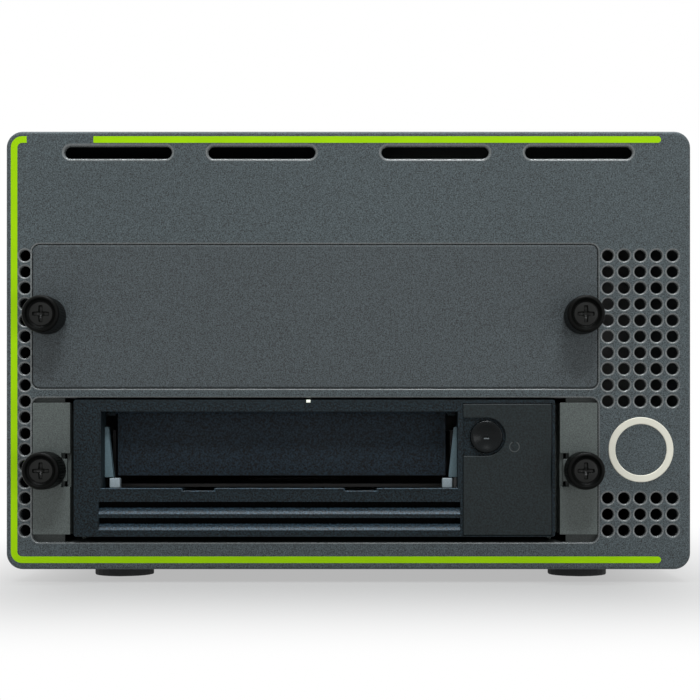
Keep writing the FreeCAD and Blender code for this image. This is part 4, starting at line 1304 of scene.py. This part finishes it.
@dataclass
class DriveFront:
    """The fine pieces of the drive's bezel: the dished button and its marks.

    Attributes:
        button: x and z of the button's axis.
        radius: Radius of the button.
        face: y of the bezel's face, where the button's rim starts.
        rim: How far the rim stands in front of the face.
        hollow: Depth of the fingertip dish below the rim.
        back: y of the button's back.
        mark_half: Half the width of the eject mark, a triangle over a bar.
        mark_top: Height of the triangle's point above the axis.
        bar_level: Height of the bar's middle.
        bar_half: Half the bar's height.
        mark_proud: How far the mark stands out of the dish.
        ring: x and z of the printed arc's middle.
        ring_radius: Radius of the arc.
        ring_half: Half the width of its line.
    """

    button: tuple[float, float] = (42.6, 45.0)
    radius: float = 5.0
    face: float = -1.5
    rim: float = 1.2
    hollow: float = 1.5
    back: float = 0.5
    mark_half: float = 0.95
    mark_top: float = 0.85
    bar_level: float = -0.55
    bar_half: float = 0.16
    mark_proud: float = 0.1
    ring: tuple[float, float] = (51.2, 41.9)
    ring_radius: float = 1.5
    ring_half: float = 0.16

    def dish(self, across: Array, up: Array) -> Array:
        """Level of the button's face: a dish with an eject mark standing a little proud.

        Args:
            across: Distance across from the axis.
            up: Distance up from the axis.

        Returns:
            y = face - rim sqrt(1 - s^8) + hollow (1 - s^2) - mark, with s = r / radius.
        """
        share = np.clip(np.hypot(across, up) / self.radius, 0, 1)
        level = self.rim * np.sqrt(1 - share ** 8) - self.hollow * (1 - share ** 2)
        inside = np.minimum(up + 0.05, self.mark_top - up - self.mark_half * np.abs(across))
        bar = np.minimum(self.bar_half - np.abs(up - self.bar_level),
                         self.mark_half - np.abs(across))
        mark = self.mark_proud * smooth(np.maximum(inside, bar) / 0.14)
        return self.face - level - mark

    def build(self) -> None:
        """Make the button, and the arc printed beside it."""
        x, z = self.button
        button = Surface()
        relief(button, x, z, self.radius, self.dish, rings=64, steps=128)
        lathe(button, [(self.radius, self.face), (self.radius, self.back), (0.02, self.back)],
              x, z, 128)
        button.build("eject_button_dish", Body.BUTTON.value, GLOSS, "button_plastic",
                     replaces=["eject_button"], sharp=50)
        bar = Surface()
        low = self.face - self.rim + self.hollow
        line = np.array([[x + across, z + self.bar_level] for across in (-0.8, 0.0, 0.8)])
        ribbon(bar, line, 0.17, low - 0.16, low + 0.05, False, False)
        bar.build("eject_mark", Body.BUTTON.value, MARK_BRIGHT, "button_plastic")
        turn = np.radians(np.linspace(60, -240, 41))
        arc = np.array(self.ring) + self.ring_radius * np.stack([np.cos(turn), np.sin(turn)], -1)
        mark = Surface()
        ribbon(mark, arc, self.ring_half, self.face - 0.02, self.face + 0.02, True, True)
        mark.build("status_mark", Body.DRIVE.value, MARK, "insert_plastic")


@dataclass
class BezelEdges:
    """The parts of the bezel that catch the light: the louvre blades and the mouth's lower lip.
    Both are the bezel's own plastic painted lighter, a painted highlight.

    Attributes:
        face: y of the bezel's face.
        blade_ends: Lowest and highest x of the blades.
        blade_lows: Lower edge of each blade.
        blade_tall: Height of a blade.
        blade_deep: How far back a blade's upper edge lies.
        lift: How far the blades stand off the moulding behind them.
        belly: How far a blade's middle bulges.
        waver: Depth of the waves along a blade.
        mouth: Lowest x, highest x and lower edge of the mouth.
        notches: Middle of each notch in that edge.
        notch: Half the width and the depth of a notch.
        lip: Radius of the lip's bead.
    """

    face: float = -1.5
    blade_ends: tuple[float, float] = (-76.9, 34.5)
    blade_lows: tuple[float, float] = (16.2, 21.15)
    blade_tall: float = 1.9
    blade_deep: float = 1.5
    lift: float = 0.04
    belly: float = 0.18
    waver: float = 0.03
    mouth: tuple[float, float, float] = (-76.2, 33.8, 28.98)
    notches: tuple[float, float] = (-46.2, 3.8)
    notch: tuple[float, float] = (5.1, 0.8)
    lip: float = 0.2

    def blades(self) -> Surface:
        """Compute the blades.

        Along the blade's section, 0 <= s <= 1, the height is low + tall s and the depth is
        deep s - lift - (belly - waver sin(2.9 x + 3 sin(7 s))) sin(pi s).

        Returns:
            Their surface.
        """
        surface = Surface()
        across, share = np.meshgrid(np.linspace(*self.blade_ends, 401), np.linspace(0, 1, 13))
        bulge = self.belly - self.waver * np.sin(2.9 * across + 3 * np.sin(7 * share))
        depth = self.face + self.blade_deep * share - self.lift
        depth = depth - bulge * np.sin(math.pi * share)
        for low in self.blade_lows:
            surface.grid(np.stack([across, depth, low + self.blade_tall * share], -1))
        return surface

    def lip_path(self) -> Array:
        """Draw the mouth's lower edge, down and up through its notches.

        Returns:
            n x 2 points.
        """
        left, right, level = self.mouth
        half, deep = self.notch
        marks = [(left, level)]
        for middle in self.notches:
            marks += [(middle - half, level), (middle - half, level - deep),
                      (middle + half, level - deep), (middle + half, level)]
        marks.append((right, level))
        steps = [np.linspace(start, end, max(2, int(math.dist(start, end) / 0.4)), endpoint=False)
                 for start, end in zip(marks, marks[1:])]
        return np.concatenate([*steps, [marks[-1]]])

    def build(self) -> None:
        """Make the blades and the lip."""
        # Blades and lip both take the lighter paint: a painted highlight.
        self.blades().build("louvre_blades", Body.DRIVE.value, LOUVRE_HIGHLIGHT, "bezel_plastic")
        lip = Surface()
        bead(lip, self.lip_path(), self.lip, self.face + 0.3 * self.lip)
        lip.build("mouth_lip", Body.DRIVE.value, LOUVRE_HIGHLIGHT, "bezel_plastic", sharp=60)


@dataclass
class Foam:
    """The black dust filter behind the bezel's louvres.

    Attributes:
        left: Lowest x; right is the highest.
        low: Lowest z; high is the highest.
        front: y of the foremost cells.
        thick: Distance from there to the back.
        swell: Height of the cells.
    """

    left: float = -77.5
    right: float = 35.1
    low: float = 15.9
    high: float = 26.6
    front: float = 0.75
    thick: float = 1.5
    swell: float = 0.12

    def build(self) -> None:
        """Make the sheet of foam.

        Its face is y = front + swell (2 + sin(5.1 x + 2 sin z) + sin(4.3 z + 2 cos x)).
        """
        across, up = np.meshgrid(np.linspace(self.left, self.right, 361),
                                 np.linspace(self.low, self.high, 41))
        cells = np.sin(5.1 * across + 2 * np.sin(up)) + np.sin(4.3 * up + 2 * np.cos(across))
        surface = Surface()
        surface.grid(np.stack([across, self.front + self.swell * (2 + cells), up], -1))
        back = self.front + self.thick
        surface.add([[self.left, back, self.low], [self.right, back, self.low],
                     [self.right, back, self.high], [self.left, back, self.high]], [(0, 3, 2, 1)])
        surface.build("louvre_foam", Body.DRIVE.value, FOAM, "rubber")


@dataclass
class Fastener:
    """A small pan-head screw with a cross recess; only its head is drawn.

    Attributes:
        radius: Radius of the head.
        height: How far it stands proud.
    """

    radius: float
    height: float

    def level(self, across: Array, up: Array) -> Array:
        """Level of the head's face.

        Args:
            across: Distance across from the axis.
            up: Distance up from the axis.

        Returns:
            y = -h sqrt(1 - s^4), with the cross sunk into it.
        """
        share = np.clip(np.hypot(across, up) / self.radius, 0, 1)
        recess = cross_recess(across, up, 0.62 * self.radius, 0.14 * self.radius)
        return 0.05 - self.height * (np.sqrt(1 - share ** 4) - 0.75 * recess)

    def set_out(self, name: str, body: Body, finish: "Finish", slot: str,
                places: list[tuple[tuple[float, float, float], Facing]]) -> None:
        """Make one piece of several heads.

        Args:
            name: The piece's name.
            body: What it rides on.
            finish: Its finish.
            slot: The record's slot.
            places: Where each head sits, and which way it looks.
        """
        head = Surface()
        relief(head, 0.0, 0.0, self.radius, self.level, rings=22, steps=48)
        group = Surface()
        for place, facing in places:
            group.copy(head, place, facing)
        group.build(name, body.value, finish, slot, sharp=50)


@dataclass
class Fasteners:
    """The screws that hold the cover, the fan, the drive's lid and its rail brackets.

    Attributes:
        cover_side: Distance of the cover's sides from the middle; cover_top is its upper face.
        cover_low: z of the screws into the tray; cover_rows gives their y.
        flange_y: y of the screws into the rear panel's flange.
        flange_levels: z of those at the sides; flange_tops gives x of those at the top.
        rear_face: y of the rear panel's outer face.
        fan: x and z of the fan's axis; its screws lie fan_spread across and up from there.
        rail_side: x of the drive's two sides.
        rail_rows: y of the rail brackets' screws; rail_levels gives their z.
        lid_top: z of the drive's lid.
        lid_across: x of its screws; lid_rows gives their y.
    """

    cover_side: float = 105.3
    cover_top: float = 139.0
    cover_low: float = 24.0
    cover_rows: tuple[float, ...] = (30.0, 118.0, 206.0)
    flange_y: float = 288.0
    flange_levels: tuple[float, ...] = (50.0, 112.0)
    flange_tops: tuple[float, ...] = (-70.0, 70.0)
    rear_face: float = 294.0
    fan: tuple[float, float] = (48.0, 84.0)
    fan_spread: float = 35.75
    rail_side: tuple[float, float] = (-84.5, 63.5)
    rail_rows: tuple[float, ...] = (52.0, 112.0, 172.0)
    rail_levels: tuple[float, ...] = (22.0, 44.0)
    lid_top: float = 55.8
    lid_across: tuple[float, ...] = (-79.0, 58.0)
    lid_rows: tuple[float, ...] = (12.0, 200.0)

    def build(self) -> None:
        """Make each group of screws."""
        sides = ((-self.cover_side, Facing.LEFT), (self.cover_side, Facing.RIGHT))
        cover = [((x, y, self.cover_low), facing) for x, facing in sides for y in self.cover_rows]
        cover += [((x, self.flange_y, z), facing)
                  for x, facing in sides for z in self.flange_levels]
        cover += [((x, self.flange_y, self.cover_top), Facing.TOP) for x in self.flange_tops]
        Fastener(2.9, 1.0).set_out("cover_screws", Body.CASE, BLACK_SCREW, "screw_black", cover)
        x, z = self.fan
        fan = [((x + a * self.fan_spread, self.rear_face, z + b * self.fan_spread), Facing.REAR)
               for a in (-1, 1) for b in (-1, 1)]
        Fastener(3.6, 1.5).set_out("fan_screws", Body.CASE, BLACK_SCREW, "screw_black", fan)
        rail = [((side, y, z), facing)
                for side, facing in zip(self.rail_side, (Facing.LEFT, Facing.RIGHT))
                for y in self.rail_rows for z in self.rail_levels]
        Fastener(2.5, 0.8).set_out("rail_screws", Body.DRIVE, ZINC, "sheet_steel", rail)
        lid = [((x, y, self.lid_top), Facing.TOP)
               for x in self.lid_across for y in self.lid_rows]
        Fastener(1.9, 0.4).set_out("lid_screws", Body.DRIVE, ZINC, "sheet_steel", lid)


@dataclass
class BoardParts:
    """Chips and capacitors on the backplane, on the side that looks into the bays.

    Attributes:
        face: y of the board's face.
        chips: x and z of each chip's middle, its width, its height and its thickness.
        cans: x and z of each capacitor's axis, its radius and its length.
    """

    face: float = 224.9
    chips: tuple[tuple[float, float, float, float, float], ...] = (
        (-78.0, 30.0, 14.0, 14.0, 1.4), (-78.0, 62.0, 8.0, 5.0, 1.2), (-60.0, 86.0, 5.0, 5.0, 1.0),
        (44.0, 34.0, 9.0, 7.0, 1.3), (44.0, 52.0, 5.0, 4.0, 1.1), (60.0, 86.0, 12.0, 12.0, 1.4),
        (30.0, 86.0, 5.0, 6.0, 1.0), (-20.0, 92.0, 22.0, 6.0, 5.0))
    cans: tuple[tuple[float, float, float, float], ...] = (
        (-62.0, 44.0, 3.1, 7.0), (-62.0, 54.0, 3.1, 7.0), (60.0, 62.0, 4.0, 9.0),
        (60.0, 72.0, 4.0, 9.0), (28.0, 34.0, 2.5, 5.4))

    def build(self) -> None:
        """Make the chips as rounded blocks, and the cans as turned profiles."""
        chips = Surface()
        for x, z, wide, tall, thick in self.chips:
            rounded_block(chips, (x - wide / 2, self.face - thick, z - tall / 2),
                          (x + wide / 2, self.face, z + tall / 2), 0.25, 2)
        chips.build("backplane_chips", Body.CASE.value, SOCKET, "socket_plastic")
        cans = Surface()
        for x, z, radius, tall in self.cans:
            top = self.face - tall
            lathe(cans, [(0.02, top + 0.25), (0.8 * radius, top + 0.25), (0.84 * radius, top),
                         (radius - 0.3, top), (radius, top + 0.4), (radius, self.face - 2.2),
                         (radius - 0.35, self.face - 1.8), (radius, self.face - 1.4),
                         (radius, self.face)], x, z, 40)
        cans.build("backplane_capacitors", Body.CASE.value, CAN, "motor_metal")


@dataclass
class Studio:
    """Floor, lights and the camera.

    Attributes:
        camera: Where the camera stands, in millimetres as the CAD draws.
        wide: What the frame spans at the panel's face, in millimetres.
        centre: x of the frame's middle.
        middle: Height of the frame's middle.
        floor_half: Half the width of the floor, in millimetres.
        floor_shade: Its albedo near the unit.
        shadow_patch_glow: Light that the floor gives off itself near the unit: painted light that
            lifts the shadow there to a grey.
        narrowing: How much faster the floor brightens across the unit than along it.
        painted_shadow_half: Half the width and depth of the patch of painted shadow round the
            unit, in metres, after the narrowing.
        clearing: Distance from there at which the floor is plain white, in metres.
        lamp_color: Colour of every lamp.
        sky_color: Colour of the soft light from all round.
        sky: Strength of that light.
    """

    camera: tuple[float, float, float] = (13.0, -500.0, 47.0)
    wide: float = 216.3
    centre: float = 0.5
    middle: float = 71.8
    floor_half: float = 3000.0
    floor_shade: float = 0.075
    shadow_patch_glow: float = 0.46
    narrowing: float = 1.75
    painted_shadow_half: tuple[float, float] = (0.1225, 0.144)
    clearing: float = 0.17
    lamp_color: tuple[float, float, float] = (0.94, 0.975, 1.0)
    sky_color: tuple[float, float, float, float] = (0.92, 0.96, 1.0, 1.0)
    sky: float = 0.12

    def floor(self) -> None:
        """Lay a pale floor with a painted shadow round the unit, which brightens to plain white
        away from it.

        The share of white is the smooth step of d / clearing, where d is the distance from the
        patch of painted shadow: d = |max((narrowing |x|, |y|) - painted_shadow_half, 0)|.
        """
        corners = [[x * self.floor_half, y * self.floor_half, 0.0]
                   for x, y in ((-1, -1), (1, -1), (1, 1), (-1, 1))]
        mesh = bpy.data.meshes.new("floor")
        mesh.from_pydata(to_row(corners).tolist(), [], [(0, 1, 2, 3)])
        graph = Graph("FloorPaintedShadow")
        shade = graph.spread(graph.noise(6.0), 0.3, 0.7, 0.985, 1.015)
        paper = graph.add("ShaderNodeBsdfPrincipled", Roughness=0.9,
                          Base_Color=graph.scaled((self.floor_shade,) * 3, shade),
                          Specular_IOR_Level=0.1, Emission_Color=(1.0, 1.0, 1.0, 1.0),
                          Emission_Strength=self.shadow_patch_glow)
        # The patch round the unit stays darker than the white beyond it, whatever the lamps do: a
        # painted shadow.
        beside = graph.vector("ABSOLUTE", graph.place)
        narrowed = graph.vector("MULTIPLY", beside, (self.narrowing, 1.0, 1.0))
        outside = graph.vector("MAXIMUM", graph.vector("SUBTRACT", narrowed,
                                                       (*self.painted_shadow_half, 0.0)))
        far = graph.add("ShaderNodeVectorMath", {"operation": "LENGTH"})
        graph.tree.links.new(outside, far.inputs[0])
        share = graph.add("ShaderNodeMapRange", {"interpolation_type": "SMOOTHSTEP"},
                          Value=far.outputs["Value"], From_Max=self.clearing)
        white = graph.add("ShaderNodeEmission", Strength=1.0)
        fade = graph.add("ShaderNodeMixShader", Fac=share.outputs["Result"])
        graph.tree.links.new(paper.outputs[0], fade.inputs[1])
        graph.tree.links.new(white.outputs[0], fade.inputs[2])
        mesh.materials.append(graph.finish(fade))
        floor = bpy.data.objects.new("floor", mesh)
        bpy.context.scene.collection.objects.link(floor)

    def light(self, name: str, place: tuple[float, float, float], aim: tuple[float, float, float],
              size: tuple[float, float], power: float) -> None:
        """Hang one soft rectangular light.

        Args:
            name: Its name.
            place: Where it hangs, in millimetres.
            aim: What it points at.
            size: Width and height in metres.
            power: Watts.
        """
        data = bpy.data.lights.new(name, "AREA")
        data.shape = "RECTANGLE"
        data.size, data.size_y = size
        data.energy = power
        data.color = self.lamp_color
        lamp = bpy.data.objects.new(name, data)
        start, end = Vector(to_row(np.array(place))), Vector(to_row(np.array(aim)))
        lamp.location = start
        lamp.rotation_euler = (end - start).to_track_quat("-Z", "Y").to_euler()
        bpy.context.scene.collection.objects.link(lamp)

    def world(self) -> None:
        """Light the object softly from all round.

        Seen by the camera, in a reflection or through a clear piece, the world is plain white.
        """
        world = bpy.data.worlds.new("Studio")
        bpy.context.scene.world = world
        world.use_nodes = True
        tree = world.node_tree
        tree.nodes.clear()
        path = tree.nodes.new("ShaderNodeLightPath")
        soft, seen = tree.nodes.new("ShaderNodeBackground"), tree.nodes.new("ShaderNodeBackground")
        soft.inputs["Color"].default_value = self.sky_color
        soft.inputs["Strength"].default_value = self.sky
        seen.inputs["Color"].default_value = (1.0, 1.0, 1.0, 1.0)
        seen.inputs["Strength"].default_value = 1.0
        mix = tree.nodes.new("ShaderNodeMixShader")
        output = tree.nodes.new("ShaderNodeOutputWorld")
        looked_at = path.outputs["Is Camera Ray"]
        for ray in ("Is Glossy Ray", "Is Transmission Ray"):
            either = tree.nodes.new("ShaderNodeMath")
            either.operation = "MAXIMUM"
            tree.links.new(looked_at, either.inputs[0])
            tree.links.new(path.outputs[ray], either.inputs[1])
            looked_at = either.outputs[0]
        tree.links.new(looked_at, mix.inputs["Fac"])
        tree.links.new(soft.outputs[0], mix.inputs[1])
        tree.links.new(seen.outputs[0], mix.inputs[2])
        tree.links.new(mix.outputs[0], output.inputs["Surface"])

    def build(self) -> None:
        """Set the whole studio up."""
        self.floor()
        self.world()
        self.light("Top", (0, -300, 2600), (0, -40, 60), (1.7, 0.3), 70.0)
        self.light("Key", (220, -1800, 2120), (0, 0, 60), (0.7, 0.4), 33.0)
        self.light("Fill", (1500, -1700, 60), (40, 0, 40), (0.9, 0.9), 10.0)
        self.light("Back", (0, 400, 880), (0, 400, 0), (1.8, 0.9), 6.0)
        data = bpy.data.cameras.new("Camera")
        camera = bpy.data.objects.new("Camera", data)
        camera.location = Vector(to_row(np.array(self.camera)))
        camera.rotation_euler = (math.pi / 2, 0.0, 0.0)
        data.lens = data.sensor_width * -self.camera[1] / self.wide
        data.shift_x = (self.centre - self.camera[0]) / self.wide
        data.shift_y = (self.middle - self.camera[2]) / self.wide
        data.clip_start, data.clip_end = 0.01, 20.0
        bpy.context.scene.collection.objects.link(camera)
        scene = bpy.context.scene
        scene.camera = camera
        scene.view_settings.view_transform = "Standard"


def main() -> None:
    """Build the scene."""
    logging.basicConfig(level=logging.INFO, format="%(name)s: %(message)s")
    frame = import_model()
    paint_nodes(frame)
    FrontPanel().build()
    for corner, (x, z) in SCREW_PLACES.items():
        Thumbscrew(corner, x, z).build()
    DriveFront().build()
    BezelEdges().build()
    Foam().build()
    Fasteners().build()
    BoardParts().build()
    Studio().build()


if __name__ == "__main__":
    main()
